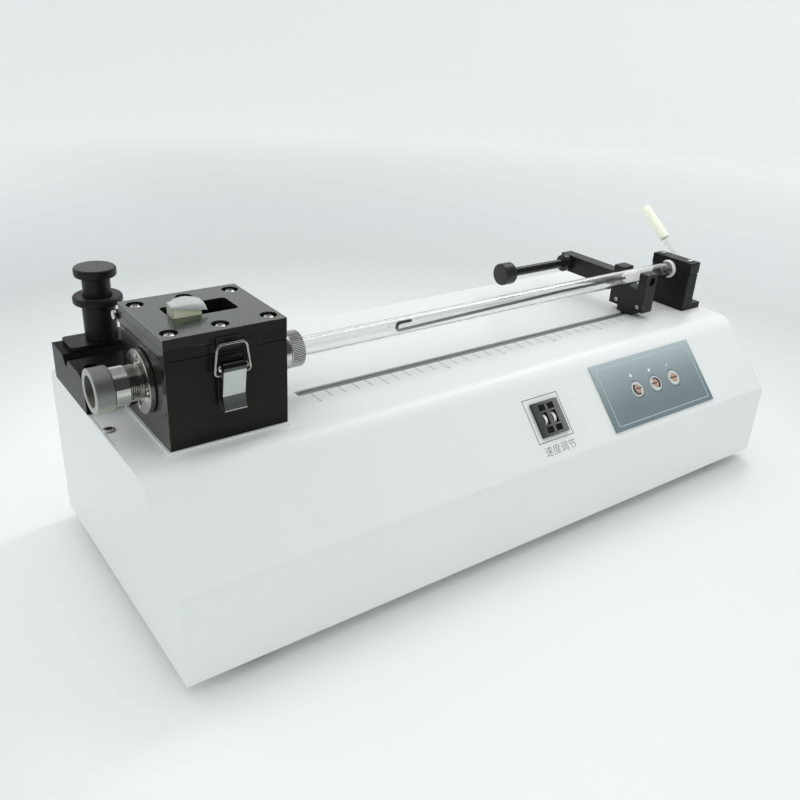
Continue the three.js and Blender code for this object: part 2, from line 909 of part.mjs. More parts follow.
// Lever: a rolled head about the pivot, two cheeks for the bail and a blade that hangs down and
// ends in a finger lip, which flares out to the front
const leverSpan = around(latchX, 2 * leverHalf);
const bladeTop = pivot.y - leverRoll;
const bladeEnd = bladeTop + leverLean;
const leverEnd = pivot.z - leverReach;
const leverBlade = [
  [bladeTop, pivot.z],
  [bladeEnd, leverEnd + leverLip],
  [bladeEnd - leverFlare, leverEnd],
  [bladeEnd - leverFlare + leverThickness, leverEnd],
  [bladeEnd + leverThickness, leverEnd + leverLip],
  [bladeTop + leverThickness, pivot.z],
].map(([y, z]) => new THREE.Vector2(y, z));
const cheekOutline = rounded([
  [bladeTop + leverThickness / 2, pivot.z],
  [bladeTop + leverThickness, pivot.z - bailDrop - cheekRadius],
  [pivot.y + cheekRadius, pivot.z - bailDrop - cheekRadius, cheekRadius * nearlyRoundShare],
  [pivot.y + cheekRadius, pivot.z],
]);
add('latch_lever', join(
  extruded('x', leverBlade, leverSpan),
  bar('x', leverRoll, leverSpan, pivot),
  extruded('x', cheekOutline, [leverSpan[0], leverSpan[0] + leverThickness]),
  extruded('x', cheekOutline, [leverSpan[1] - leverThickness, leverSpan[1]]),
), satinSteel);

const bailFootHalf = earOuter + bailSpread;
const bailFootCorner = bailCorner * bailFootCornerShare;
const bailOutline = rounded([
  [-leverHalf - clearance, bailFoot],
  [-bailFootHalf, bailFoot, bailFootCorner],
  [-bailTopHalf, bailTop, bailCorner],
  [bailTopHalf, bailTop, bailCorner],
  [bailFootHalf, bailFoot, bailFootCorner],
  [leverHalf + clearance, bailFoot],
]);
const bailPoints = bailOutline.map((p) => new THREE.Vector3(latchX + p.x, pivot.y, p.y));
add('latch_bail', bent(bailPoints, bailWire), brightSteel);

// Furnace port: a flanged threaded sleeve, its lock ring and its cap nut
const flangeBack = chamberLeft - gasketThickness;
const flangeFront = flangeBack - flangeThickness;
const threadEnd = flangeFront - threadReach;
const threads = [];
const ridgeCount = Math.floor((lockRingStart - clearance) / threadPitch);
for (let k = 0; k < ridgeCount; k += 1) {
  const x = flangeFront - (k + 1) * threadPitch;
  const [rootStart, rootEnd, crest] = threadShares.map((share) => x + share * threadPitch);
  threads.push(
    [threadRadius, x + threadPitch],
    [threadRadius - threadDepth, rootStart],
    [threadRadius - threadDepth, rootEnd],
    [threadRadius, crest],
  );
}
add('port_flange', turned('x', [
  [portBoreRadius, chamberLeft + chamberWall],
  [spigotRadius, chamberLeft + chamberWall],
  [spigotRadius, flangeBack],
  [portHoleRadius + flangeMargin, flangeBack],
  [portHoleRadius + flangeMargin, flangeFront],
  ...threads,
  [threadRadius, threadEnd],
  [portBoreRadius, threadEnd],
], axis, sides), satinSteel);

const lockRingSpan = [flangeFront - lockRingStart - lockRingLength, flangeFront - lockRingStart];
const lockRingBore = threadRadius + clearance;
add('lock_ring', ring('x', lockRingBore + lockRingWall, lockRingBore, lockRingSpan, axis), brightSteel);

const capFloor = threadEnd - clearance;
const capLeft = capFloor - capFace;
const capRight = lockRingSpan[0] - clearance;
const capRadius = threadRadius + clearance + capWall;
add('cap_nut', turned('x', [
  [portBoreRadius, capLeft],
  [capRadius, capLeft],
  [capRadius, capRight],
  [threadRadius + clearance, capRight],
  [threadRadius + clearance, capFloor],
  [portBoreRadius, capFloor],
], axis), mattAluminium);

// Tube port: a collar in the chamber's wall and a knurled nut round the tube
const collarRight = chamberSpanX[1] + collarLength;
const collarEnd = collarRight + collarThreadLength;
const collarThreadRadius = tubeHole + collarThreadWall;
const collarRadius = collarThreadRadius + collarStep;
add('tube_collar', turned('x', [
  [tubeHole, chamberSpanX[1] - chamberWall],
  [spigotRadius, chamberSpanX[1] - chamberWall],
  [spigotRadius, chamberSpanX[1]],
  [collarRadius, chamberSpanX[1]],
  [collarRadius, collarRight],
  [collarThreadRadius, collarRight],
  [collarThreadRadius, collarEnd],
  [tubeHole, collarEnd],
], axis), brightSteel);

const nutBore = collarThreadRadius + clearance;
const nutSpan = [collarRight + clearance, collarRight + clearance + nutLength];
const knurl = [];
for (let k = 0; k < 2 * knurlCount; k += 1) {
  const angle = (Math.PI * k) / knurlCount;
  const radius = nutBore + nutWall - (k % 2) * knurlDepth;
  knurl.push(new THREE.Vector2(axisY + radius * Math.cos(angle), axisZ + radius * Math.sin(angle)));
}
add('knurled_nut', cut(
  extruded('x', knurl, nutSpan),
  bar('x', nutBore, [nutSpan[0] - overrun, nutSpan[1] - nutFace], axis),
  bar('x', tubeHole, widen(nutSpan, overrun), axis),
), satinSteel);

// Quartz tube with a domed end, and the side arm that lets the carrier gas in
const tubeLeft = chamberSpanX[1] - chamberWall + clearance;
const domeStart = tubeRight - tubeDome;
const armX = tubeRight - armInset;
function domed(radius, length, from, reach) {
  const profile = [[0, from], [radius, from]];
  for (let k = 0; k <= bendSteps; k += 1) {
    const angle = (Math.PI / 2) * (k / bendSteps);
    profile.push([k === bendSteps ? 0 : radius * Math.cos(angle), reach + length * Math.sin(angle)]);
  }
  return turned('x', profile, axis);
}
const armAngle = THREE.MathUtils.degToRad(armTilt);
function alongArm(radius, [from, to], inner = 0) {
  const profile = [[inner, from], [radius, from], [radius, to], [inner, to]];
  const geometry = turned('y', profile, {}, armSides);
  geometry.rotateX(armAngle);
  return geometry.translate(armX, axisY, axisZ);
}
add('quartz_tube', cut(
  join(
    domed(tubeRadius, tubeDome, tubeLeft, domeStart),
    alongArm(armRadius, [bore, armLength]),
  ),
  domed(bore, tubeDome - tubeWall, tubeLeft - overrun, domeStart),
  alongArm(armRadius - armWall, [0, armLength + overrun]),
), clearGlass);

const armHole = armRadius + clearance;
add('side_sleeve', alongArm(
  armHole + sleeveWall,
  [sleeveStart, sleeveStart + sleeveLength],
  armHole,
), siliconeYellow);

// End support: a bracket with a foot, split across the tube, and its cap
const supportRight = supportLeft + supportThickness;
const supportSpanY = [axisY - supportFrontReach, axisY + supportBackReach];
const supportCapZ = [axisZ + clearance, axisZ + clearance + supportCapHeight];
const supportHole = bar('x', tubeHole, widen([supportLeft, supportRight], overrun), axis);
add('end_support', cut(
  join(
    block([supportLeft, supportRight], supportSpanY, [caseHeight, axisZ]),
    block(
      [supportLeft, supportRight + supportFootLength],
      supportSpanY,
      [caseHeight, caseHeight + supportFootHeight],
    ),
  ),
  supportHole,
), blackAnodised);
add('end_support_cap', cut(
  extruded(
    'x',
    rectangle(widen(supportSpanY, supportCapStep), supportCapZ, supportCorner),
    [supportLeft, supportRight],
  ),
  supportHole,
), blackAnodised);

// Syringe holder: a block with a lengthwise groove and two fixing holes in its front shoulder
const holderOutline = rounded([
  [holderFront, caseHeight],
  [holderFront, holderTop, holderNose],
  [grooveCentre - grooveHalf, holderTop],
  [grooveCentre, holderTop - grooveDepth],
  [grooveCentre + grooveHalf, holderTop],
  [holderBack, holderTop],
  [holderBack, caseHeight],
]);
const clampAxis = { x: clampX, y: holderBack - clampInset };
const studHole = bar(
  'z',
  studShaftRadius + clearance,
  [holderTop - studSunk - clearance, holderTop + overrun],
  clampAxis,
  smallSides,
);
const holderHoles = [holderHoleInset, holderLength - holderHoleInset].map((x) => bar(
  'z',
  holderHoleRadius,
  [holderTop - holderHoleDepth, holderTop + overrun],
  { x, y: holderFront + holderHoleOffset },
  smallSides,
));
add('syringe_holder', cut(
  extruded('x', holderOutline, [0, holderLength]),
  studHole,
  ...holderHoles,
), blackAnodised);

// Spring clamp: a fixed stud with a head, a sleeve that lifts on it, and the plate under it
const plateBottom = holderTop + clearance;
const plateTop = plateBottom + clampPlateThickness;
const sleeveBottom = plateTop + clearance;
const springBottom = sleeveBottom + sleeveFloor + clearance;
const springTop = springBottom + springRoom;
const studNeckBottom = springTop + clearance;
const studKnobBottom = studNeckBottom + studNeckLength;
const studTop = studKnobBottom + studKnobHeight;
add('clamp_stud', turned('z', [
  [0, holderTop - studSunk],
  [studShaftRadius, holderTop - studSunk],
  [studShaftRadius, studNeckBottom],
  [studNeckRadius, studNeckBottom],
  [studNeckRadius, studKnobBottom],
  [studKnobRadius - knobFillet, studKnobBottom],
  [studKnobRadius, studKnobBottom + knobFillet],
  [studKnobRadius, studTop - knobFillet],
  [studKnobRadius - knobFillet, studTop],
  [0, studTop],
], clampAxis, fineSides), blackOxide);

const sleeveBore = studNeckRadius + clearance;
const shaftHole = studShaftRadius + clearance;
const sleeveTop = sleeveBottom + sleeveHeight;
const sleeveHousingRadius = sleeveBore + sleeveHousingWall;
const sleeveFlangeRadius = sleeveHousingRadius + sleeveFlangeStep;
add('clamp_sleeve', turned('z', [
  [shaftHole, sleeveBottom],
  [sleeveHousingRadius, sleeveBottom],
  [sleeveHousingRadius, sleeveTop - sleeveFlangeThickness],
  [sleeveFlangeRadius - knobFillet, sleeveTop - sleeveFlangeThickness],
  [sleeveFlangeRadius, sleeveTop - sleeveFlangeThickness + knobFillet],
  [sleeveFlangeRadius, sleeveTop - knobFillet],
  [sleeveFlangeRadius - knobFillet, sleeveTop],
  [sleeveBore, sleeveTop],
  [sleeveBore, sleeveBottom + sleeveFloor],
  [shaftHole, sleeveBottom + sleeveFloor],
], clampAxis, fineSides), blackOxide);

const springRadius = sleeveBore - 3 * clearance;
add('clamp_spring', ring(
  'z',
  springRadius,
  springRadius - 2 * springWire,
  [springBottom, springTop],
  clampAxis,
  smallSides,
), brightSteel);

add('clamp_plate', cut(
  extruded(
    'z',
    rectangle(
      around(clampAxis.x, clampPlateLength),
      around(clampAxis.y, clampPlateWidth),
      clampPlateCorner,
    ),
    [plateBottom, plateTop],
  ),
  bar('z', shaftHole, widen([plateBottom, plateTop], overrun), clampAxis, smallSides),
), blackAnodised);

// Carriage: a cradle round the tube, an arm to the pusher, and the magnet that draws the rod
const carriageSpan = [carriageLeft, carriageLeft + carriageThickness];
const carriageX = carriageLeft + carriageThickness / 2;
const carriageBottom = caseHeight + carriageLift;
const carriageTop = axisZ + carriageRise;
const carriageFloor = axisZ - tubeRadius - tubeGapUnder;
const frontPostY = axisY - tubeRadius - tubeGapFront;
const rearPostY = axisY + tubeRadius + tubeGapRear;
const carriageFront = frontPostY - frontPost;
const carriageBack = rearPostY + rearPost;
const carriageFootZ = [caseHeight + carriageFloat, carriageBottom + overrun];
const cradle = [
  [carriageFront, carriageBottom],
  [carriageFront, carriageTop],
  [frontPostY, carriageTop],
  [frontPostY, carriageFloor],
  [rearPostY, carriageFloor],
  [rearPostY, carriageTop],
  [carriageBack, carriageTop],
  [carriageBack, carriageBottom],
].map(([y, z]) => new THREE.Vector2(y, z));
add('carriage_cradle', cut(
  join(
    extruded('x', cradle, carriageSpan),
    block(carriageSpan, around(axisY, carriageFootDepth), carriageFootZ),
  ),
  bar(
    'y',
    magnetRadius + clearance,
    [carriageFront - overrun, carriageFront + magnetSink + magnetLength + clearance],
    { x: carriageX, z: axisZ },
    smallSides,
  ),
), blackAnodised);
add('drive_magnet', bar(
  'y',
  magnetRadius,
  [carriageFront + magnetSink, carriageFront + magnetSink + magnetLength],
  { x: carriageX, z: axisZ },
  smallSides,
), satinSteel);

const pusher = { y: grooveCentre, z: holderTop + pusherRise };
const pusherHole = [carriageLeft - overrun, carriageLeft + pusherScrewLength];
add('carriage_arm', cut(
  block(carriageSpan, [carriageBack, pusher.y + armBarMargin], around(pusher.z, armBarHeight)),
  bar('x', pusherScrewRadius + clearance, pusherHole, pusher),
), blackAnodised);

const rodLeft = carriageLeft - clearance - pusherRodLength;
add('pusher_rod', turned('x', [
  [0, rodLeft],
  [pusherRodRadius, rodLeft],
  [pusherRodRadius, carriageLeft - clearance - pusherCollarLength],
  [pusherCollarRadius, carriageLeft - clearance - pusherCollarLength],
  [pusherCollarRadius, carriageLeft - clearance],
  [pusherScrewRadius, carriageLeft - clearance],
  [pusherScrewRadius, carriageLeft + pusherScrewLength - clearance],
  [0, carriageLeft + pusherScrewLength - clearance],
], pusher), blackOxide);
const knobRight = rodLeft - clearance;
add('pusher_knob', turned('x', [
  [0, knobRight - pusherKnobLength],
  [pusherKnobRadius - knobFillet, knobRight - pusherKnobLength],
  [pusherKnobRadius, knobRight - pusherKnobLength + knobFillet],
  [pusherKnobRadius, knobRight - knobFillet],
  [pusherKnobRadius - knobFillet, knobRight],
  [0, knobRight],
], pusher, fineSides), blackPlastic);

// Drive nut: rides the screw and the guide rod, and carries the blade up through the slot
const screwZ = caseHeight - screwDrop;
const guideZ = screwZ - guideDrop;
const nutBlockTop = screwZ + nutBlockRise;
const nutBlockBottom = guideZ - nutBlockDrop;
const screwAxis = { y: axisY, z: screwZ };
const guideAxis = { y: axisY, z: guideZ };
const nutBlockX = around(carriageX, nutBlockLength);
add('drive_nut', cut(
  join(
    block(nutBlockX, around(axisY, nutBlockWidth), [nutBlockBottom, nutBlockTop]),
    block(
      around(carriageX, bladeWidth),
      around(slotBack - bladeGap / 2, bladeThickness),
      [nutBlockTop - overrun, carriageFootZ[0] - clearance],
    ),
  ),
  bar('x', screwRadius + clearance, widen(nutBlockX, overrun), screwAxis, smallSides),
  bar('x', guideRadius + clearance, widen(nutBlockX, overrun), guideAxis, smallSides),
), blackPlastic);

const frameSpanY = around(axisY, frameWidth);
const frameLeft = slotStart - frameOverhang;
const frameRight = slotEnd + frameOverhang;
const frameTop = screwZ + frameRise;
add('drive_frame', cut(
  join(
    block([frameLeft, frameRight], frameSpanY, [sheet, sheet + frameBase]),
    block([frameLeft, frameLeft + framePlate], frameSpanY, [sheet, frameTop]),
    block([frameRight - framePlate, frameRight], frameSpanY, [sheet, frameTop]),
  ),
  bar('x', screwRadius + clearance, widen([frameLeft, frameRight], overrun), screwAxis, smallSides),
  bar('x', guideRadius + clearance, widen([frameLeft, frameRight], overrun), guideAxis, smallSides),
), mattAluminium);
const rodSpan = [frameLeft, frameRight - clearance];
add('lead_screw', bar('x', screwRadius, rodSpan, screwAxis, smallSides), satinSteel);
add('guide_rod', bar('x', guideRadius, rodSpan, guideAxis, smallSides), brightSteel);

const motorOutline = rectangle(
  around(axisY, motorSize),
  around(screwZ, motorSize),
  motorChamfer,
  motorSides,
);
add('drive_motor', extruded('x', motorOutline, [frameRight, frameRight + motorLength]), blackPlastic);

// Boat rod: a sealed magnet slug drawn along by the carriage, and a hooked wire in front of it
const slugRadius = bore - clearance;
const slugSpan = around(carriageX - slugLead, slugLength);
add('magnet_slug', turned('x', [
  [0, slugSpan[0]],
  [slugRadius - slugEnd, slugSpan[0]],
  [slugRadius, slugSpan[0] + slugEnd],
  [slugRadius, slugSpan[1] - slugEnd],
  [slugRadius - slugEnd, slugSpan[1]],
  [0, slugSpan[1]],
], axis), whiteSlug);
const wireStart = slugSpan[0] - clearance;
const wireEnd = wireStart - rodReach;
const rodDip = bore - rodRadius - rodFloat;
const hookCorner = hookRise * hookCornerShare;
const hookOutline = rounded([
  [wireStart, axisZ],
  [wireStart - rodStraight, axisZ, rodStraight],
  [wireEnd + hookRise, axisZ - rodDip, hookRise],
  [wireEnd, axisZ - rodDip, hookCorner],
  [wireEnd, axisZ - rodDip + hookRise, hookCorner],
  [wireEnd + hookReturn, axisZ - rodDip + hookRise],
]);
const wirePoints = hookOutline.map((p) => new THREE.Vector3(p.x, axisY, p.y));
add('boat_rod', bent(wirePoints, rodRadius), satinSteel);

// Keypad overlay and its three keys
add('keypad_overlay', cut(
  block(
    [overlayLeft, overlayLeft + overlayWidth],
    [overlayBottom, overlayBottom + overlayHeight],
    [clearance, clearance + overlayThickness],
  ),
  ...keyXs.map((x) => bar(
    'z',
    keyRadius + clearance,
    [-overrun, clearance + overlayThickness + overrun],
    { x, y: keyV },
  )),
), overlayGrey, panel);
keyXs.forEach((x, k) => {
  const top = clearance + overlayThickness + keyProud;
  const key = turned('z', [
    [0, -sheet - keyStem],
    [keyStemRadius, -sheet - keyStem],
    [keyStemRadius, -sheet],
    [keyRadius, -sheet],
    [keyRadius, top - keyProud / 2],
    [keyRadius - keyProud / 2, top],
    [0, top],
  ], { x, y: keyV }, smallSides);
  add(`key_${k + 1}`, key, brightSteel, panel);
});

// Thumbwheel switch: housing, two number wheels and four step buttons
const wheelTop = switchProud - wheelSink;
const wheelRadius = stepButtonOffset - stepButtonHeight / 2 - wheelGap;
const wheelZ = wheelTop - wheelRadius;
const digitXs = { tens: switchX - digitPitch / 2, units: switchX + digitPitch / 2 };
const stepPocketDepth = stepButtonSink + stepButtonDepth + stepTravel + clearance;
const switchCuts = [];
for (const x of Object.values(digitXs)) {
  switchCuts.push(
    block(
      around(x, digitWindowWidth),
      around(keyV, digitWindowHeight),
      [wheelZ, switchProud + overrun],
    ),
    bar('x', wheelRadius + clearance, around(x, wheelWidth + 2 * clearance), { y: keyV, z: wheelZ }),
  );
  for (const side of [-1, 1]) {
    switchCuts.push(block(
      around(x, stepButtonWidth + 2 * clearance),
      around(keyV + side * stepButtonOffset, stepButtonHeight + 2 * clearance),
      [switchProud - stepPocketDepth, switchProud + overrun],
    ));
  }
}
add('thumbwheel_housing', cut(
  join(
    block(around(switchX, switchWidth), around(keyV, switchHeight), [clearance, switchProud]),
    block(
      around(switchX, switchBodyWidth),
      around(keyV, switchBodyHeight),
      [-switchBodyDepth, switchProud],
    ),
  ),
  ...switchCuts,
), blackPlastic, panel);
for (const [name, x] of Object.entries(digitXs)) {
  const wheel = bar('x', wheelRadius, around(x, wheelWidth), { y: keyV, z: wheelZ }, sides);
  add(`number_wheel_${name}`, wheel, whitePlastic, panel);
  for (const [label, side] of [['up', 1], ['down', -1]]) {
    const top = switchProud - stepButtonSink;
    add(`step_${label}_${name}`, block(
      around(x, stepButtonWidth),
      around(keyV + side * stepButtonOffset, stepButtonHeight),
      [top - stepButtonDepth, top],
    ), blackPlastic, panel);
  }
}

// Control board on four standoffs, with its larger components
const boardLeft = caseLength - boardInset - boardLength;
const boardTop = sheet + boardStand + boardThickness;
let board = block(
  [boardLeft, boardLeft + boardLength],
  [boardFront, boardFront + boardDepth],
  [sheet + boardStand, boardTop],
);
for (const x of [boardLeft + boardStandInset, boardLeft + boardLength - boardStandInset]) {
  for (const y of [boardFront + boardStandInset, boardFront + boardDepth - boardStandInset]) {
    board = join(board, bar('z', boardStandRadius, [sheet, boardTop], { x, y }, boardStandSides));
  }
}
for (const { along: alongShare, across: acrossShare, size: sizeShare } of boardPartShares) {
  board = join(board, block(
    around(boardLeft + alongShare * boardLength, sizeShare * boardLength),
    around(boardFront + acrossShare * boardDepth, sizeShare * boardLength),
    [sheet + boardStand, boardTop + boardPartHeight],
  ));
}
add('control_board', board, greenBoard);

const supplyBack = caseDepth - sheet - supplyBackGap;
const supplySpanY = [supplyBack - supplyDepth, supplyBack];
add('power_supply', join(
  block(
    [supplyLeft, supplyLeft + supplyLength],
    supplySpanY,
    [sheet, sheet + supplyHeight],
  ),
  block(
    [supplyLeft + supplyLength - overrun, supplyLeft + supplyLength + supplyTerminal],
    supplySpanY,
    [sheet, sheet + supplyTerminalHeight],
  ),
), satinSteel);

// Mains inlet: a moulding with the socket below and the rocker's pocket above
const inletSpanZ = around(inletZ, inletHeight);
const socketBottom = inletSpanZ[0] + inletWall;
const rockerZ = inletSpanZ[1] - inletWall - rockerPocketHeight / 2;
add('power_inlet', cut(
  join(
    block(
      around(inletX, inletWidth),
      [caseDepth - inletDepth, caseDepth + inletLip],
      inletSpanZ,
    ),
    block(
      around(inletX, inletWidth + 2 * inletFlange),
      [caseDepth, caseDepth + inletLip],
      widen(inletSpanZ, inletFlange),
    ),
  ),
  block(
    around(inletX, socketWidth),
    [caseDepth + inletLip - socketDepth, caseDepth + inletLip + overrun],
    [socketBottom, socketBottom + socketHeight],
  ),
  block(
    around(inletX, rockerWidth + 2 * clearance),
    [caseDepth + inletLip - rockerPocketDepth, caseDepth + inletLip + overrun],
    around(rockerZ, rockerPocketHeight),
  ),
), blackPlastic);

const rocker = new THREE.Group();
const rockerFace = rockerDepth - rockerProud / 2;
rocker.position.set(inletX, caseDepth + inletLip - rockerFace, rockerZ);
rocker.rotation.x = THREE.MathUtils.degToRad(-rockerTilt);
part.add(rocker);
const rockerOutline = [
  [-rockerFoot, -rockerHeight / 2],
  [rockerFace, -rockerHeight / 2],
  [rockerDepth - rockerProud, 0],
  [rockerFace, rockerHeight / 2],
  [-rockerFoot, rockerHeight / 2],
].map(([y, z]) => new THREE.Vector2(y, z));
add('rocker_switch', extruded('x', rockerOutline, around(0, rockerWidth)), blackPlastic, rocker);

// The frame's origin is the middle of the feet's plane, under the centre of the whole part.
part.updateMatrixWorld(true);
const extent = new THREE.Box3().setFromObject(part, true);
const middle = extent.getCenter(new THREE.Vector3());
const standing = new THREE.Group();
part.position.set(-middle.x, -middle.y, -extent.min.z);
standing.add(part);

export default standing;
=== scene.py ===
import json
from math import atan2, cos, pi, radians, sin, tau

import bmesh
import bpy
from mathutils import Matrix, Vector

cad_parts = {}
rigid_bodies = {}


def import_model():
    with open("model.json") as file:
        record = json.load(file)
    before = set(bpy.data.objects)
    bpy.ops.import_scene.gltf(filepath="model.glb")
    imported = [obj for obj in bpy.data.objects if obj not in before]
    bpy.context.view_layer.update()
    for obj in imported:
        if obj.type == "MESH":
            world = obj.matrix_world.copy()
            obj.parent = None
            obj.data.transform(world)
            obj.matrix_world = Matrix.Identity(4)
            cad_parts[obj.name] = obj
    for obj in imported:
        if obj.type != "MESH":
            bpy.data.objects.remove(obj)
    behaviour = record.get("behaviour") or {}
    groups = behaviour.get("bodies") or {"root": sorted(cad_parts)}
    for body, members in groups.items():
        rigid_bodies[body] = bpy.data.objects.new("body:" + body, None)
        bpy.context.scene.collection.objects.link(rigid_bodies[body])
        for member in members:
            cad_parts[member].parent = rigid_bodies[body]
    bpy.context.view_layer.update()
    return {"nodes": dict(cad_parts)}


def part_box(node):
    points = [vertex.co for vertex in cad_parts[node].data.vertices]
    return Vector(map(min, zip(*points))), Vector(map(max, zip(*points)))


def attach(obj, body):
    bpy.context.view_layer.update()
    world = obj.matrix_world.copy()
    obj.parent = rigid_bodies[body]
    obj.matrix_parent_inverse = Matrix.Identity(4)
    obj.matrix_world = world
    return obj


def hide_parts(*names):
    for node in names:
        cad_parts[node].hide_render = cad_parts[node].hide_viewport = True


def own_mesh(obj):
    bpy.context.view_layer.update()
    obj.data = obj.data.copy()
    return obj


for leftover in list(bpy.data.objects):
    bpy.data.objects.remove(leftover)
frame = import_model()


# The camera: a 38 mm lens on a 36 mm frame, looking down on the case from its front left corner.
# Places are given in millimetres from the case's left end, front face and underside.

MM = 0.001
case_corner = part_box("base_tray")[0]


def at(x, y, z):
    """A place on the object in metres, from millimetres off the case's left front bottom corner."""
    return case_corner + Vector((x, y, z)) * MM


eye = bpy.data.cameras.new("viewpoint")
eye.sensor_width = 36
eye.lens = 37.866
eye.clip_start = 0.01
eye.clip_end = 60
viewpoint = bpy.data.objects.new("viewpoint", eye)
in_scene = bpy.context.scene.collection.objects
in_scene.link(viewpoint)
right_of_view = Vector((0.81068, -0.58332, 0.05033))
down_in_view = Vector((-0.22044, -0.38372, -0.89675))
into_view = Vector((0.54241, 0.71589, -0.43966))
turn = Matrix((right_of_view, -down_in_view, -into_view)).transposed()
viewpoint.matrix_world = Matrix.Translation(at(-113.697, -317.847, 329.602)) @ turn.to_4x4()
bpy.context.scene.camera = viewpoint
bpy.context.scene.view_settings.view_transform = "Standard"


# The studio: a pale paper table and a curved paper backdrop, a wide lamp above, a narrow one like
# a window at the back right and a weak one near the right end. The air is a little brighter from
# the back and the left, and metal mirrors a dark room in front and a bright sky behind.


class Amount:
    """A number, colour or direction that varies over a surface: one output socket of a node."""

    def __init__(self, finish, socket):
        self.finish = finish
        self.socket = socket

    def reckon(self, operation, *values):
        return self.finish.node("Math", {"operation": operation}, dict(enumerate(values)))

    def __add__(self, other):
        return self.reckon("ADD", self, other)

    __radd__ = __add__

    def __sub__(self, other):
        return self.reckon("SUBTRACT", self, other)

    def __rsub__(self, other):
        return self.reckon("SUBTRACT", other, self)

    def __mul__(self, other):
        return self.reckon("MULTIPLY", self, other)

    __rmul__ = __mul__

    def __truediv__(self, other):
        return self.reckon("DIVIDE", self, other)

    def __pow__(self, other):
        return self.reckon("POWER", self, other)

    def __abs__(self):
        return self.reckon("ABSOLUTE", self)

    def above(self, edge, softness):
        """0 below edge, 1 above edge + softness, smooth between."""
        values = {0: self, 1: edge, 2: edge + softness}
        return self.finish.node("MapRange", {"interpolation_type": "SMOOTHSTEP"}, values)


class Finish:
    """One material on the standard surface shader, with the nodes that vary it."""

    def __init__(self, name, **constants):
        self.material = bpy.data.materials.new(name)
        self.material.use_nodes = True
        self.tree = self.material.node_tree
        self.surface = self.tree.nodes["Principled BSDF"]
        self.put(**constants)

    def node(self, kind, settings=None, values=None, out=0):
        """Adds a node: its settings first, then the values or links of its sockets."""
        made = self.tree.nodes.new("ShaderNode" + kind)
        for key, setting in (settings or {}).items():
            if key == "stops":
                ramp = made.color_ramp.elements
                while len(ramp) < len(setting):
                    ramp.new(1.0)
                for stop, (place, colour) in zip(ramp, setting):
                    stop.position = place
                    stop.color = (*colour, 1)
            else:
                setattr(made, key, setting)
        for key, value in (values or {}).items():
            if isinstance(value, Amount):
                self.tree.links.new(value.socket, made.inputs[key])
            else:
                made.inputs[key].default_value = value
        return Amount(self, made.outputs[out])

    def put(self, **sockets):
        """Sets the surface's own sockets, such as base_color= or roughness=."""
        for name, value in sockets.items():
            label = name.replace("_", " ").title().replace("Ior", "IOR")
            socket = self.surface.inputs[label.replace("Specular", "Specular IOR Level")]
            if isinstance(value, Amount):
                self.tree.links.new(value.socket, socket)
            elif hasattr(value, "__len__"):
                socket.default_value = (*value, 1)
            else:
                socket.default_value = value

    def place(self, x=1, y=1, z=1):
        """The point on the surface in metres, stretched by a factor along each axis."""
        point = self.node("TexCoord", out="Object")
        return self.node("VectorMath", {"operation": "MULTIPLY"}, {0: point, 1: (x, y, z)})

    def along(self, axis):
        """How far the point lies along an axis in metres: 0 is X, 1 is Y and 2 is Z."""
        return self.node("SeparateXYZ", values={0: self.place()}, out=axis)

    def cloud(self, scale, detail=3.0, roughness=0.5, place=None):
        """Smooth random variation from 0 to 1, with scale features to the metre."""
        values = {
            "Vector": place or self.place(),
            "Scale": scale,
            "Detail": detail,
            "Roughness": roughness,
        }
        return self.node("TexNoise", values=values)

    def tint(self, share, low, high):
        """The colour low where share is 0 and high where it is 1. Either may vary already."""
        low, high = [c if isinstance(c, Amount) else (*c, 1) for c in (low, high)]
        return self.node("Mix", {"data_type": "RGBA"}, {0: share, 6: low, 7: high}, out=2)

    def paint(self, share, low, high, roughness):
        """Colours the surface from low to high by share, and sets how rough it is."""
        self.put(base_color=self.tint(share, low, high), roughness=roughness)

    def relief(self, height, depth, strength):
        """Raises the surface by height, in shares of depth in metres."""
        values = {"Height": height, "Distance": depth, "Strength": strength}
        self.put(normal=self.node("Bump", values=values))

    def grain(self, scale, depth, strength, detail=2):
        """Roughens the surface with fine random bumps, scale of them to the metre."""
        self.relief(self.cloud(scale, detail), depth, strength)

    def distance_inside(self, node, axis):
        """How deep the point lies under the nearer of a CAD node's two faces along an axis."""
        low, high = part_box(node)
        return (high[axis] - low[axis]) / 2 - abs(self.along(axis) - (high[axis] + low[axis]) / 2)

    def face_of(self, node, axis, high_side, depth=0.0004):
        """1 on one outer face of a CAD node and 0 from depth inwards."""
        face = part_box(node)[1 if high_side else 0][axis]
        point = self.along(axis)
        away = face - point if high_side else point - face
        return 1 - away.above(depth / 2, depth / 2)

    def edges_of(self, node, width):
        """1 on the edges of a box-shaped CAD node and 0 from width inwards."""
        near = [1 - self.distance_inside(node, axis).above(0, width) for axis in range(3)]
        return (near[0] + near[1] + near[2]).above(1.1, 0.8)


paper = Finish("pale_paper_with_painted_shade", roughness=0.9, specular=0.1)
far = paper.node("VectorMath", {"operation": "LENGTH"}, {0: paper.place()}, out="Value")
TONES_REACH = 4
# The paper is painted darker in a band from about 0.4 to 1.2 m out, darkest near 0.6 m: painted
# shade.
painted_shade_paper_tones = [
    (0.0, (0.92, 0.94, 0.935)),
    (0.08, (0.92, 0.94, 0.935)),
    (0.105, (0.79, 0.81, 0.81)),
    (0.15, (0.66, 0.682, 0.685)),
    (0.21, (0.74, 0.765, 0.77)),
    (0.30, (0.89, 0.91, 0.915)),
    (0.40, (0.94, 0.955, 0.96)),
    (0.62, (0.96, 0.975, 0.98)),
    (1.0, (1.0, 1.0, 1.0)),
]
paper_tone_with_painted_shade = paper.node("ValToRGB", {"stops": painted_shade_paper_tones}, {0: far / TONES_REACH})
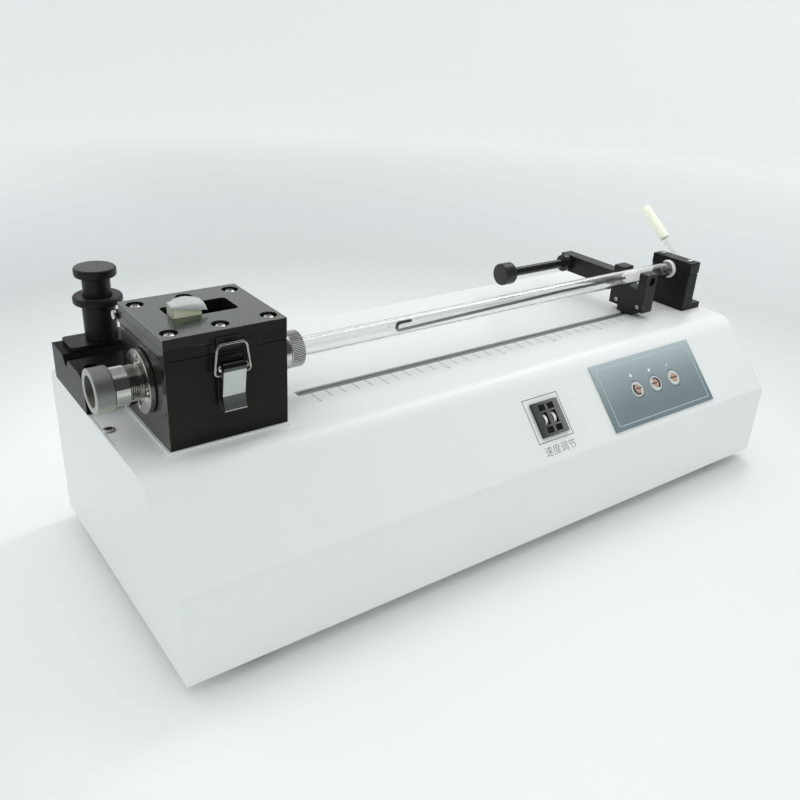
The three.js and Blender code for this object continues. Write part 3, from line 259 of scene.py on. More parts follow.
# Towards the right and within about 1.1 m of the object, the paper is painted darker still: painted
# shade.
right_side_shade_mask = paper.along(0).above(-0.25, 0.6)
near_by = 1 - far.above(1.1, 0.6)
PAINTED_RIGHT_SHADE = 0.4
painted_shade_right = paper.tint(right_side_shade_mask * near_by * PAINTED_RIGHT_SHADE, paper_tone_with_painted_shade, (0.6, 0.62, 0.62))
paper.put(base_color=painted_shade_right)

TABLE_RADIUS = 1.9
BACKDROP_BEND = 1.5
BEND_STEPS = 12
BEND_STEP = radians(6.5)
PAPER_SIDES = 96
table_rim = [(TABLE_RADIUS, 0.0)]
for step in range(1, BEND_STEPS + 1):
    outward = TABLE_RADIUS + BACKDROP_BEND * sin(step * BEND_STEP)
    table_rim.append((outward, BACKDROP_BEND * (1 - cos(step * BEND_STEP))))
for name, profile in (("table", table_rim[:1]), ("backdrop", table_rim)):
    paper_mesh = bmesh.new()
    rings = []
    for radius, height in profile:
        ring = []
        for k in range(PAPER_SIDES):
            angle = tau * k / PAPER_SIDES
            corner = (radius * cos(angle), radius * sin(angle), height)
            ring.append(paper_mesh.verts.new(corner))
        rings.append(ring)
    if name == "table":
        paper_mesh.faces.new(rings[0])
    for inner, outer in zip(rings, rings[1:]):
        for k in range(PAPER_SIDES):
            j = (k + 1) % PAPER_SIDES
            paper_mesh.faces.new((inner[k], outer[k], outer[j], inner[j]))
    paper_shape = bpy.data.meshes.new(name)
    paper_mesh.to_mesh(paper_shape)
    paper_mesh.free()
    paper_shape.shade_smooth()
    paper_shape.materials.append(paper.material)
    sheet = bpy.data.objects.new(name, paper_shape)
    in_scene.link(sheet)
    sheet.visible_glossy = name == "table"


def lamp(name, place, aim, size, power):
    """A flat lamp of (width, depth) metres at place that looks at aim. It doesn't show in glass."""
    light = bpy.data.lights.new(name, "AREA")
    light.shape = "RECTANGLE"
    light.size, light.size_y = size
    light.energy = power
    stand = bpy.data.objects.new(name, light)
    stand.location = place
    stand.rotation_euler = (Vector(place) - Vector(aim)).to_track_quat("Z", "X").to_euler()
    stand.visible_transmission = False
    in_scene.link(stand)
    return stand


lamp("ceiling_lamp", (-0.35, 0.25, 1.7), aim=(0, 0, 0), size=(1.6, 1.6), power=0.8)
lamp("window_lamp", (0.72, 0.28, 1.15), aim=(0, 0, 0.15), size=(0.9, 0.2), power=3.2)
near = lamp("near_lamp", (0.30, -0.20, 0.58), aim=(0.2, -0.04, 0.1), size=(0.4, 0.3), power=0.12)
near.data.spread = radians(100)
near.visible_glossy = False


class Air(Finish):
    """The light of the room on all sides, made from the same kinds of node as a finish."""

    def __init__(self, name):
        room = bpy.data.worlds.new(name)
        room.use_nodes = True
        bpy.context.scene.world = room
        self.tree = room.node_tree


air = Air("air")
direction = air.node("TexCoord", out="Generated")
toward_right, toward_back, toward_top = [
    air.node("SeparateXYZ", values={0: direction}, out=axis) for axis in "XYZ"
]
day = air.node("Background", values={
    "Color": (0.97, 1.0, 1.0, 1),
    "Strength": 0.89 + toward_back * 0.26 - toward_right * 0.15,
})
up_the_sky = toward_top * 0.5 + 0.5
sky_tones = [(0.47, 0.10), (0.70, 1.0), (0.75, 1.0), (0.85, 0.45), (1.0, 0.3)]
room_tones = [(0.92, 0.07), (0.99, 1.0)]
COOLER = 1.02
mirrored = []
for tones in (sky_tones, room_tones):
    stops = [(place, (tone, tone * COOLER, tone * COOLER)) for place, tone in tones]
    mirrored.append(air.node("ValToRGB", {"stops": stops}, {0: up_the_sky}))
sky, dark_room = mirrored
in_front = 1 - toward_back.above(-0.3, 0.3)
mirrored_day = air.node("Background", values={"Color": air.tint(in_front, sky, dark_room)})
in_mirrors = air.node("LightPath", out="Is Glossy Ray")
shown_air = air.node("MixShader", values={0: in_mirrors, 1: day, 2: mirrored_day})
air.tree.links.new(shown_air.socket, air.tree.nodes["World Output"].inputs["Surface"])


# The case: a folded tray with its two end walls, and a cover bent over it from one sheet.
# Both are steel with a baked white powder coat, which has a faint orange peel and light soiling.

powder_coat = Finish("white_powder_coat")
soiling = powder_coat.cloud(9, 5, 0.6)
specks = powder_coat.node("TexVoronoi", values={"Vector": powder_coat.place(), "Scale": 150})
speckled_parts = powder_coat.cloud(30, 1).above(0.56, 0.05)
speck_share = (1 - specks.above(0.045, 0.02)) * speckled_parts * 0.35
clean_coat = powder_coat.tint(soiling, (0.80, 0.825, 0.82), (0.855, 0.875, 0.87))
powder_coat.paint(speck_share, clean_coat, (0.3, 0.29, 0.27), 0.3 + soiling * 0.14)
powder_coat.grain(900, 0.00003, 0.5)


def dress(node, finish, edge):
    """Gives a CAD node its finish, and breaks its sharp edges by so many millimetres."""
    solid = frame["nodes"][node]
    solid.data.materials.clear()
    solid.data.materials.append(finish.material)
    if "custom_normal" in solid.data.attributes:
        solid.data.attributes.remove(solid.data.attributes["custom_normal"])
    solid.data.shade_smooth()
    weld = solid.modifiers.new("weld", "WELD")
    weld.merge_threshold = 0.000005
    flats = solid.modifiers.new("flats", "DECIMATE")
    flats.decimate_type = "DISSOLVE"
    flats.angle_limit = radians(0.8)
    if edge:
        bevel = solid.modifiers.new("broken_edges", "BEVEL")
        bevel.width = edge * MM
        bevel.segments = 2
        bevel.limit_method = "ANGLE"
        bevel.angle_limit = radians(33)
    shading = solid.modifiers.new("shading", "WEIGHTED_NORMAL")
    shading.weight = 90
    return solid


dress("base_tray", powder_coat, 0.3)
dress("cover_shell", powder_coat, 0.3)


# Four round feet of black rubber, screwed to the tray's underside. Moulded rubber is matt and
# picks up pale dust on its rim.

rubber = Finish("black_rubber", specular=0.3)
dust = rubber.cloud(140, 4).above(0.5, 0.25)
rubber.paint(dust, (0.016, 0.017, 0.018), (0.05, 0.052, 0.053), 0.62 + dust * 0.2)
rubber.grain(1800, 0.00004, 0.4)
for end in ("front_left", "front_right", "rear_left", "rear_right"):
    dress("foot_" + end, rubber, 0.8)


# A painted bead of filler closes the seam between the cover and the left end wall, from the floor
# up the front, the slope and the bend. It stops on the deck, where the seam is left open.


def facing(origin, out, up=(0, 0, 1)):
    """The placement whose Z points out from origin and whose Y points towards up."""
    z = Vector(out).normalized()
    x = Vector(up).cross(z)
    if x.length < 0.01:
        x = Vector((0, 1, 0)).cross(z)
    x.normalize()
    y = z.cross(x)
    placement = Matrix((x, y, z)).transposed().to_4x4()
    placement.translation = origin
    return placement


def fixed(name, mesh, finish, body):
    """A piece of one finish that rides on a body."""
    mesh.materials.clear()
    mesh.materials.append(finish.material)
    piece = bpy.data.objects.new(name, mesh)
    in_scene.link(piece)
    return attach(piece, body)


def finished(name, shape, placement, finish, body, crease=32):
    """Turns a bmesh into such a piece at its placement, with sharp edges above crease."""
    bmesh.ops.recalc_face_normals(shape, faces=shape.faces)
    for face in shape.faces:
        face.smooth = True
    for edge in shape.edges:
        if len(edge.link_faces) == 2 and edge.calc_face_angle() > radians(crease):
            edge.smooth = False
    mesh = bpy.data.meshes.new(name)
    shape.to_mesh(mesh)
    shape.free()
    mesh.transform(placement)
    return fixed(name, mesh, finish, body)


def meshed(curve):
    """The mesh of a curve or of letters."""
    blank = bpy.data.objects.new(curve.name + "-outline", curve)
    mesh = bpy.data.meshes.new_from_object(blank)
    bpy.data.objects.remove(blank)
    return mesh


def outlined(name, loops, placement, low, high, finish, body, corner=0.0):
    """Fills loops of (u, v) in millimetres, holes included, between two heights over placement."""
    outline = bpy.data.curves.new(name, "CURVE")
    outline.dimensions = "2D"
    outline.fill_mode = "BOTH"
    for loop in loops:
        spline = outline.splines.new("POLY")
        spline.points.add(len(loop) - 1)
        for point, (u, v) in zip(spline.points, loop):
            point.co = (u * MM, v * MM, 0, 1)
        spline.use_cyclic_u = True
    outline.extrude = ((high - low) / 2 - corner) * MM
    outline.bevel_depth = corner * MM
    outline.bevel_resolution = 2
    outline.offset = -corner * MM
    mesh = meshed(outline)
    shape = bmesh.new()
    shape.from_mesh(mesh)
    bpy.data.meshes.remove(mesh)
    bmesh.ops.remove_doubles(shape, verts=shape.verts, dist=0.000002)
    bmesh.ops.translate(shape, verts=shape.verts, vec=(0, 0, (low + high) / 2 * MM))
    return finished(name, shape, placement, finish, body)


DECK = 102
FRONT_BEND, FRONT_BEND_Z = 6, 52.63
TOP_BEND, TOP_BEND_Y, TOP_BEND_Z = 22, 53.54, 80
BEAD_FOOT, BEAD_END = 0.5, 84
out_of_slope = pi - radians(43.12)
front_angles = [pi + (out_of_slope - pi) * k / 6 for k in range(7)]
top_angles = [out_of_slope + (pi / 2 - out_of_slope) * k / 12 for k in range(13)]


def cover_line(inset):
    """The cover's outline in (y, z) from the floor to the deck, so far under its surface."""
    front, top = FRONT_BEND - inset, TOP_BEND - inset
    points = [(inset, BEAD_FOOT)]
    for angle in front_angles:
        across, up = front * cos(angle), front * sin(angle)
        points.append((FRONT_BEND + across, FRONT_BEND_Z + up))
    for angle in top_angles:
        points.append((TOP_BEND_Y + top * cos(angle), TOP_BEND_Z + top * sin(angle)))
    return points + [(BEAD_END, DECK - inset)]


end_view = facing(at(0, 0, 0), (1, 0, 0))
bead = cover_line(0.03) + cover_line(0.9)[::-1]
outlined("seam-bead", [bead], end_view, 1.15, 2.15, powder_coat, "case")


# Pan head screws with a cross recess, bright zinc plated. They hold the cover to the tray at the
# top and the back, and the feet under its floor.


def turned(name, profile, placement, finish, body, sides=48, closed=False, crease=32, cut=None):
    """Turns a profile of (radius, height) in millimetres about the placement's Z axis.

    cut gives the radius that is left at a radius, height and angle.
    """
    shape = bmesh.new()
    rings = []
    for radius, height in profile:
        if radius < 0.0001:
            rings.append([shape.verts.new((0, 0, height * MM))])
            continue
        ring = []
        for k in range(sides):
            angle = tau * k / sides
            across = (cut(radius, height, angle) if cut else radius) * MM
            corner = (across * cos(angle), across * sin(angle), height * MM)
            ring.append(shape.verts.new(corner))
        rings.append(ring)
    pairs = list(zip(rings, rings[1:]))
    if closed:
        pairs.append((rings[-1], rings[0]))
    for low, high in pairs:
        for k in range(sides):
            j = (k + 1) % sides
            picks = ((low, k), (low, j), (high, j), (high, k))
            corners = list(dict.fromkeys(ring[i % len(ring)] for ring, i in picks))
            if len(corners) > 2:
                shape.faces.new(corners)
    return finished(name, shape, placement, finish, body, crease)


def clouded(name, scale, low, high, gloss, spread, detail=3, stretch=(1, 1, 1), **constants):
    """A finish that one cloud colours from low to high and makes rougher by spread."""
    finish = Finish(name, **constants)
    drift = finish.cloud(scale, detail, place=finish.place(*stretch))
    finish.paint(drift, low, high, gloss + drift * spread)
    return finish


screw_steel = clouded(
    "bright_screw", 900, (0.52, 0.51, 0.49), (0.82, 0.81, 0.79), 0.16, 0.16, metallic=1.0
)
recess_painted_shade = clouded(
    "screw_recess_painted_shade", 1500, (0.02, 0.02, 0.02), (0.1, 0.1, 0.095), 0.5, 0.2, detail=2, metallic=0.6
)


def pan_screw(name, place, out, radius, height, body, turned_by=0.4):
    """A pan head screw, its head standing out from place, with a dark cross as painted shade for
    its cross recess.
    """
    placement = facing(place, out) @ Matrix.Rotation(turned_by, 4, "Z")
    profile = [(0, 0), (radius, 0), (radius, height * 0.35)]
    for step in range(1, 7):
        angle = pi / 2 * step / 6
        profile.append((radius * cos(angle * 0.86), height * (0.35 + 0.65 * sin(angle))))
    profile += [(radius * 0.12, height), (0, height)]
    head = turned(name, profile, placement, screw_steel, body, 28)
    # The recess isn't cut: a dark cross set into the head, a little proud of it, is painted shade
    # in its place.
    arm, half = radius * 0.52, radius * 0.13
    cross = [(arm, -half), (arm, half), (half, half), (half, arm), (-half, arm), (-half, half)]
    cross += [(-u, -v) for u, v in cross]
    floor, brim = height * 0.5, height + 0.06
    recess_shade_cross = outlined(name + "-recess", [cross], placement, floor, brim, recess_painted_shade, body)
    recess_shade_cross.parent = head
    recess_shade_cross.matrix_parent_inverse = Matrix.Identity(4)
    recess_shade_cross.matrix_world = Matrix.Identity(4)


for label, x in (("left", 4.4), ("right", 487.6)):
    pan_screw("cover-screw-top-" + label, at(x, 102, DECK), (0, 0, 1), 3.6, 1.3, "case")
    pan_screw("cover-screw-rear-" + label, at(x, 200, 20), (0, 1, 0), 3.0, 1.4, "case", 0.9)
for label, x, y in (("a", 42.5, 17), ("b", 449.5, 17), ("c", 42.5, 183), ("d", 449.5, 183)):
    pan_screw("foot-screw-" + label, at(x, y, -8.2), (0, 0, -1), 3.2, 0.8, "case", 0.2)


# The printing on the cover: a centimetre scale along the slot with a number at every fifth mark,
# a fine frame round the number switch and its caption. Grey screen ink, a little worn.


def circle(u, v, radius, count=32, start=0.0, turn=tau):
    """Points on a circle or an arc, in millimetres."""
    last = count if turn >= tau else count - 1
    angles = [start + turn * k / last for k in range(count)]
    return [(u + radius * cos(a), v + radius * sin(a)) for a in angles]


def box_loop(u0, u1, v0, v1, corner=0.0):
    """A rectangle with rounded corners, in millimetres."""
    if not corner:
        return [(u0, v0), (u1, v0), (u1, v1), (u0, v1)]
    left, right, low, high = u0 + corner, u1 - corner, v0 + corner, v1 - corner
    points = []
    for k, (u, v) in enumerate([(right, high), (left, high), (left, low), (right, low)]):
        points += circle(u, v, corner, 5, k * pi / 2, pi / 2)
    return points


INK_LIFT = 0.03


def lettered(name, text, size, placement, finish, body, rise=INK_LIFT, thinned=0.0):
    """Prints text as a thin film, centred on the placement, with its height in millimetres."""
    letters = bpy.data.curves.new(name, "FONT")
    letters.body = text
    letters.size = size * MM
    letters.extrude = rise * MM / 2
    letters.offset = -thinned * MM
    letters.align_x = "CENTER"
    letters.align_y = "CENTER"
    mesh = meshed(letters)
    mesh.transform(placement @ Matrix.Translation((0, 0, rise * MM / 2)))
    return fixed(name, mesh, finish, body)


ink = clouded(
    "grey_screen_ink", 700, (0.045, 0.048, 0.05), (0.11, 0.115, 0.12), 0.55, 0.1,
    specular=0.2,
)
pale_ink = clouded(
    "pale_grey_ink", 700, (0.13, 0.135, 0.14), (0.26, 0.265, 0.27), 0.55, 0.1,
    specular=0.2,
)
deck = facing(at(0, 0, DECK), (0, 0, 1), (0, 1, 0))
SCALE_START = 124.5
SCALE_STEP = 10
SCALE_LAST = 30
HALF_MARK = 0.17
scale_x = [SCALE_START + SCALE_STEP * k for k in range(SCALE_LAST + 1)]
marks = [box_loop(x - HALF_MARK, x + HALF_MARK, 78.5, 88.0) for x in scale_x]
outlined("scale-marks", marks, deck, 0, INK_LIFT, ink, "case")
for k in range(0, SCALE_LAST + 1, 5):
    spot = deck @ Matrix.Translation(Vector((scale_x[k], 76.4, 0)) * MM)
    lettered(f"scale-number-{k}", str(k), 2.9, spot, ink, "case")

SLOPE_FOOT = 55
SLOPE_DEPTH = 44
slope = Matrix.Rotation(atan2(DECK - SLOPE_FOOT, SLOPE_DEPTH), 4, "X")
slope.translation = at(0, 0, SLOPE_FOOT)
outer_frame = box_loop(251.4, 283.3, 15.7, 46.7)
inner_frame = box_loop(251.85, 282.85, 16.15, 46.25)
outlined("switch-frame-line", [outer_frame, inner_frame], slope, 0, INK_LIFT, ink, "case")
caption_spot = slope @ Matrix.Translation(Vector((267.7, 9.0, 0)) * MM)
lettered("switch-caption", "速度调节", 7.2, caption_spot, pale_ink, "case", thinned=0.05)


# The slot's dust strip: a dark grey rubber strip whose rib shows in the slot. The pusher's blade
# runs behind the rib, and polishes its top.

strip_rubber = clouded(
    "grey_strip", 60, (0.16, 0.175, 0.175), (0.27, 0.29, 0.29), 0.42, 0.2,
    detail=4, stretch=(0.2, 3, 1), specular=0.3,
)
strip_rubber.grain(1600, 0.00003, 0.4)
dress("slot_strip", strip_rubber, 0.15)


# The number switch on the slope: a black moulded housing with two number wheels behind deep
# windows, and a step button above and below each wheel. The wheels carry white number bands.

SWITCH_LEFT, SWITCH_WIDTH = 258.4, 0.018
switch_black = Finish("switch_black", specular=0.45)
mould = switch_black.cloud(320, 4)
rim_wear = switch_black.cloud(90, 3).above(0.55, 0.2)
# The housing's top is painted lighter than its sides and window walls, and lighter still towards
# its right: painted sheen and painted light on the top, painted shade on the sides.
slope_out = slope.col[2].to_3d()
rise = switch_black.node(
    "VectorMath", {"operation": "DOT_PRODUCT"}, {0: switch_black.place(), 1: slope_out}, out="Value"
)
top_face_light_mask = (rise - slope.translation.dot(slope_out)).above(0.0021, 0.0002)
rightward_painted_light = (switch_black.along(0) - at(SWITCH_LEFT, 0, 0).x) / SWITCH_WIDTH
painted_sheen_share = mould * 0.3 + rightward_painted_light * 0.75
top_painted_sheen = switch_black.tint(painted_sheen_share, (0.045, 0.05, 0.051), (0.19, 0.2, 0.2))
side_painted_shade = switch_black.tint(mould, (0.008, 0.009, 0.009), (0.02, 0.021, 0.021))
switch_black.paint(top_face_light_mask, side_painted_shade, top_painted_sheen, 0.28 + rim_wear * 0.18)
switch_black.grain(2600, 0.00003, 0.5)
pit_black = clouded(
    "button_black", 500, (0.006, 0.006, 0.007), (0.02, 0.021, 0.022), 0.4, 0.15,
    specular=0.3,
)
pit_black.grain(2600, 0.00003, 0.4)
dress("thumbwheel_housing", switch_black, 0.3)

band_white = clouded(
    "number_band_white", 300, (0.82, 0.82, 0.8), (0.9, 0.9, 0.89), 0.4, 0.1,
    detail=2, specular=0.4,
)
digit_ink = clouded(
    "digit_ink", 300, (0.45, 0.46, 0.46), (0.6, 0.61, 0.61), 0.5, 0.1,
    detail=2, specular=0.3,
)
WHEEL_RADIUS = 5.0
WHEEL_V, WHEEL_DEPTH = 30.6, 3.6
BAND_PROUD, BAND_SUNK, HALF_BAND = 0.06, 0.3, 1.1
band_top, band_floor = WHEEL_RADIUS + BAND_PROUD, WHEEL_RADIUS - BAND_SUNK
band = [(band_floor, -HALF_BAND), (band_top, -HALF_BAND)]
band += [(band_top, HALF_BAND), (band_floor, HALF_BAND)]
for place, x in (("tens", 263.6), ("units", 271.6)):
    dress("number_wheel_" + place, pit_black, 0.2)
    axle = slope @ Matrix.Translation(Vector((x + 0.55, WHEEL_V, -WHEEL_DEPTH)) * MM)
    hub = axle @ Matrix.Rotation(pi / 2, 4, "Y")
    turned("number-band-" + place, band, hub, band_white, "wheel_" + place, 40, closed=True)
    digit_lift = Matrix.Translation((0, 0, (WHEEL_RADIUS + 0.03) * MM))
    for digit in range(10):
        spoke = axle @ Matrix.Rotation(-tau * (digit + 0.5) / 10, 4, "X") @ digit_lift
        number_name = f"number-{place}-{digit}"
        lettered(number_name, str(digit), 1.6, spoke, digit_ink, "wheel_" + place, 0.06)
    for way, v in (("up", 38.4), ("down", 22.8)):
        button = f"step_{way}_{place}"
        dress(button, pit_black, 0.3)
        for k, ridge_v in enumerate((-0.9, 0.0, 0.9)):
            ridge = box_loop(x - 1.9, x + 1.9, v + ridge_v - 0.2, v + ridge_v + 0.2, 0.15)
            ridge_name = f"step-ridge-{way}-{place}-{k}"
            outlined(ridge_name, [ridge], slope, 1.8, 2.25, pit_black, button, 0.06)


# The keypad: a polyester film printed blue grey, darker towards the front, with a pale frame line,
# three pale keys with copper discs and dark signs, and a small lamp window over each key.

film_grey = Finish("keypad_film")
film_low, film_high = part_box("keypad_overlay")
up_film = (film_grey.along(2) - film_low.z) / (film_high.z - film_low.z)
mottle = film_grey.cloud(22, 3)
film_share = up_film ** 2.2 * 0.9 + mottle * 0.2
film_grey.paint(film_share, (0.15, 0.2, 0.22), (0.47, 0.535, 0.555), 0.34 + mottle * 0.12)
film_grey.grain(2400, 0.00002, 0.5)
dress("keypad_overlay", film_grey, 0.15)

line_pale = clouded(
    "keypad_line", 160, (0.46, 0.53, 0.56), (0.6, 0.66, 0.69), 0.4, 0.1,
    detail=2, specular=0.4,
)
FILM_TOP = 1.1
film_frame = [
    box_loop(324.6, 426.0, 8.8, 52.4, 1.2),
    box_loop(325.15, 425.45, 9.35, 51.85, 0.8),
]
frame_top = FILM_TOP + INK_LIFT
outlined("keypad-frame-line", film_frame, slope, FILM_TOP, frame_top, line_pale, "case")

key_film = clouded(
    "key_film", 260, (0.50, 0.545, 0.55), (0.66, 0.70, 0.70), 0.3, 0.12
)
# A dark ring round the edge of each raised key: painted shade at its rim.
key_ring_painted_shade = clouded(
    "key_rim_painted_shade", 300, (0.07, 0.085, 0.09), (0.15, 0.17, 0.18), 0.35, 0.1,
    detail=2, specular=0.4,
)
copper_ink = clouded(
    "key_copper_ink", 420, (0.42, 0.26, 0.19), (0.56, 0.40, 0.31), 0.34, 0.1,
    detail=2, specular=0.4,
)
sign_ink = clouded(
    "key_sign_ink", 420, (0.018, 0.02, 0.02), (0.06, 0.065, 0.065), 0.34, 0.1,
    detail=2, specular=0.4,
)
lamp_white = clouded(
    "lamp_window", 500, (0.86, 0.87, 0.86), (0.93, 0.94, 0.93), 0.25, 0.1, detail=2
)
lamp_dim = clouded(
    "lamp_window_dim", 500, (0.5, 0.55, 0.56), (0.6, 0.64, 0.65), 0.25, 0.1, detail=2
)
KEY_TOP = 1.7
KEY_V = 30.6
sign_top = KEY_TOP + INK_LIFT
# side, CAD node, middle, lamp window's middle, its finish, the bar's two ends, and the arc's first
# angle with the shift of its inner line.
keys = [
    ("left", "key_1", 356.2, 355.7, lamp_white, (-1.2, 4.4), (115, 0.9)),
    ("middle", "key_2", 376.7, 375.9, lamp_white, (-4.6, 1.2), (-65, -0.6)),
    ("right", "key_3", 397.2, 396.2, lamp_dim, (-4.2, 4.2), None),
]
for label, node, x, lamp_x, lamp_finish, (bar_left, bar_right), arc in keys:
    body = "key_" + label
    dress(node, key_film, 0.25)
    rim = [circle(x, KEY_V, 6.2, 48), circle(x, KEY_V, 5.75, 48)]
    outlined(f"key-ring-{label}", rim, slope, KEY_TOP, sign_top, key_ring_painted_shade, body)
    disc = [circle(x + 0.2, KEY_V + 0.1, 3.45, 40)]
    outlined(f"key-disc-{label}", disc, slope, KEY_TOP, sign_top, copper_ink, body)
    signs = [box_loop(x + bar_left, x + bar_right, KEY_V - 0.15, KEY_V + 0.75, 0.3)]
    if arc:
        start = radians(arc[0])
        outer = circle(x + 0.1, KEY_V, 4.5, 20, start, pi)
        inner = circle(x + arc[1], KEY_V + 0.1, 3.4, 20, start, pi)
        signs.append(outer + inner[::-1])
    for k, sign in enumerate(signs):
        sign_name = f"key-sign-{label}-{k}"
        outlined(sign_name, [sign], slope, sign_top, sign_top + INK_LIFT, sign_ink, body)
    lens = [circle(lamp_x, 41.5, 1.15, 20)]
    outlined(f"lamp-window-{label}", lens, slope, FILM_TOP, FILM_TOP + 0.12, lamp_finish, "case")


# The mains inlet at the back: a black moulding snapped into the cover, with three flat brass pins
# in its socket and a plain black rocker above them.

inlet_black = clouded(
    "inlet_black", 260, (0.016, 0.016, 0.017), (0.035, 0.036, 0.037), 0.36, 0.16,
    detail=4, specular=0.45,
)
inlet_black.grain(2600, 0.00003, 0.5)
dress("power_inlet", inlet_black, 0.4)
dress("rocker_switch", inlet_black, 0.3)
pin_brass = clouded(
    "pin_brass", 700, (0.55, 0.42, 0.22), (0.78, 0.66, 0.42), 0.22, 0.2, metallic=1.0
)
socket_floor = facing(at(428, 185.4, 28.1), (0, 1, 0))
for label, u, v in (("left", -5.5, -1.8), ("middle", 0, 3.4), ("right", 5.5, -1.8)):
    pin = box_loop(u - 0.9, u + 0.9, v - 2.4, v + 2.4, 0.3)
    outlined("inlet-pin-" + label, [pin], socket_floor, -0.4, 13.2, pin_brass, "case", 0.25)


# The drive under the cover: a pressed frame, a stepping motor, a ground guide rod and a rolled
# screw with its nut. Plain machine parts, seen only with the cover off.

drive_steel = clouded(
    "drive_steel", 600, (0.45, 0.45, 0.45), (0.66, 0.66, 0.65), 0.24, 0.16,
    stretch=(0.05, 1, 1), metallic=1.0,
)
dress("lead_screw", drive_steel, 0.3)
dress("guide_rod", drive_steel, 0.3)
frame_zinc = Finish("frame_zinc", metallic=1.0)
zinc_crystals = {"Vector": frame_zinc.place(), "Scale": 180}
spangle = frame_zinc.node("TexVoronoi", values=zinc_crystals, out="Color")
spangle_share = frame_zinc.node("SeparateXYZ", values={0: spangle})
zinc_gloss = 0.36 + spangle_share * 0.14
frame_zinc.paint(spangle_share, (0.42, 0.43, 0.44), (0.6, 0.61, 0.62), zinc_gloss)
dress("drive_frame", frame_zinc, 0.3)
dress("drive_motor", inlet_black, 0.5)
dress("drive_nut", inlet_black, 0.4)


# The control board and the power supply on the tray's floor. The board is green laminate with
# solder flecks, and the supply sits in a perforated cage.

laminate = Finish("green_laminate")
track_pattern = {"Vector": laminate.place(), "Scale": 260}
tracks = laminate.node("TexBrick", {"offset": 0.5}, track_pattern, out="Fac")
weave = laminate.cloud(900, 2)
bare_board = laminate.tint(weave, (0.01, 0.07, 0.03), (0.02, 0.11, 0.05))
laminate.paint(tracks * 0.5, bare_board, (0.06, 0.2, 0.1), 0.35 + weave * 0.1)
dress("control_board", laminate, 0.2)
cage_steel = Finish("supply_cage", metallic=1.0)
# The holes aren't cut: a grid of dark spots is painted on, painted shade for the holes.
hole_pattern = {"Vector": cage_steel.place(), "Scale": 260, "Randomness": 0.0}
painted_hole_shade = 1 - cage_steel.node("TexVoronoi", values=hole_pattern).above(0.28, 0.05)
cage_steel.paint(painted_hole_shade, (0.5, 0.5, 0.5), (0.03, 0.03, 0.03), 0.35 + painted_hole_shade * 0.3)
dress("power_supply", cage_steel, 0.3)


# The entry chamber: a milled aluminium box, anodised black, on a white plate. Handling has left
# cloudy smears on its sides, and its edges show a thin line of bare metal in places.

plate_white = clouded(
    "seat_plate_white", 30, (0.72, 0.74, 0.73), (0.82, 0.84, 0.83), 0.32, 0.14,
    detail=4, specular=0.45,
)
plate_white.grain(1200, 0.00003, 0.4)
dress("chamber_seat_plate", plate_white, 0.3)


def black_anodising(name, node, smear_scale, dark, pale, gloss, specular=0.3, coat=None):
    """Dyed anodising: near black, with handling smears, fine grain, scuffs and worn edges.

    coat is the weight and the roughness of a shine on the node's left face.
    """
    finish = Finish(name, specular=specular)
    smear = finish.cloud(smear_scale, 5, 0.55)
    scuffs = finish.cloud(260, 4, 0.7, finish.place(0.25, 0.25, 2.4)).above(0.62, 0.1)
    broken = finish.cloud(220, 4, 0.7).above(0.5, 0.14)
    worn = finish.edges_of(node, 0.00035) * broken
    ground = finish.tint(smear.above(0.35, 0.4), dark, pale)
    scuffed = finish.tint(scuffs * 0.09, ground, (0.075, 0.08, 0.075))
    roughness = gloss + smear * 0.14 + scuffs * 0.06
    finish.paint(worn * 0.75, scuffed, (0.20, 0.205, 0.195), roughness)
    finish.grain(3200, 0.00002, 0.35)
    if coat:
        finish.put(coat_weight=finish.face_of(node, 0, False) * coat[0], coat_roughness=coat[1])
    return finish


body_black = black_anodising(
    "chamber_black", "chamber_body", 14,
    (0.006, 0.0072, 0.0045), (0.012, 0.014, 0.0095), gloss=0.14, specular=0.13,
    coat=(0.55, 0.12),
)
dress("chamber_body", body_black, 0.4)
dress("chamber_seal", rubber, 0.2)


# The lid: a frame plate and a top plate held together by six screws in counterbores, over a
# glass window. It swings on a bright pin through knuckles at the back.

lid_black = black_anodising(
    "lid_black", "lid_top_plate", 22,
    (0.008, 0.0095, 0.0065), (0.02, 0.022, 0.017), gloss=0.18, specular=0.16,
)
lid_top = lid_black.face_of("lid_top_plate", 2, True)
lid_left = lid_black.face_of("lid_top_plate", 0, False)
lid_black.put(
    coat_weight=lid_top * 0.85 + lid_left * 0.5,
    coat_roughness=0.16,
    coat_ior=1.6,
    coat_tint=(0.9, 1.0, 0.92),
)
frame_black = black_anodising(
    "lid_frame_black", "lid_frame", 34,
    (0.007, 0.008, 0.0055), (0.014, 0.016, 0.011), gloss=0.16, specular=0.14,
    coat=(0.5, 0.12),
)
dress("lid_top_plate", lid_black, 0.45)
dress("lid_frame", frame_black, 0.45)

window = Finish("window_glass", transmission_weight=1.0, ior=1.45, base_color=(0.93, 0.97, 0.95))
window.put(roughness=0.02 + window.cloud(60, 4).above(0.55, 0.3) * 0.1)
dress("window_glass", window, 0.1)

polished_pin = clouded(
    "polished_pin", 900, (0.6, 0.6, 0.58), (0.82, 0.82, 0.8), 0.12, 0.14, metallic=1.0
)
dress("hinge_pin", polished_pin, 0.4)

COUNTERBORE_FLOOR = 163.9
lid_spots = [(x, y) for x in (29.8, 58.0, 86.2) for y in (68.3, 116.1)]
for k, (x, y) in enumerate(lid_spots, 1):
    seat = at(x, y, COUNTERBORE_FLOOR)
    pan_screw(f"lid-screw-{k}", seat, (0, 0, 1), 3.2, 2.7, "lid", 0.5 + k * 0.7)


# The injection block in the window: a clear block, yellowed with age low down, with a scrap of
# cloudy film laid over its top. The film hangs over the front and droops at its right corner.

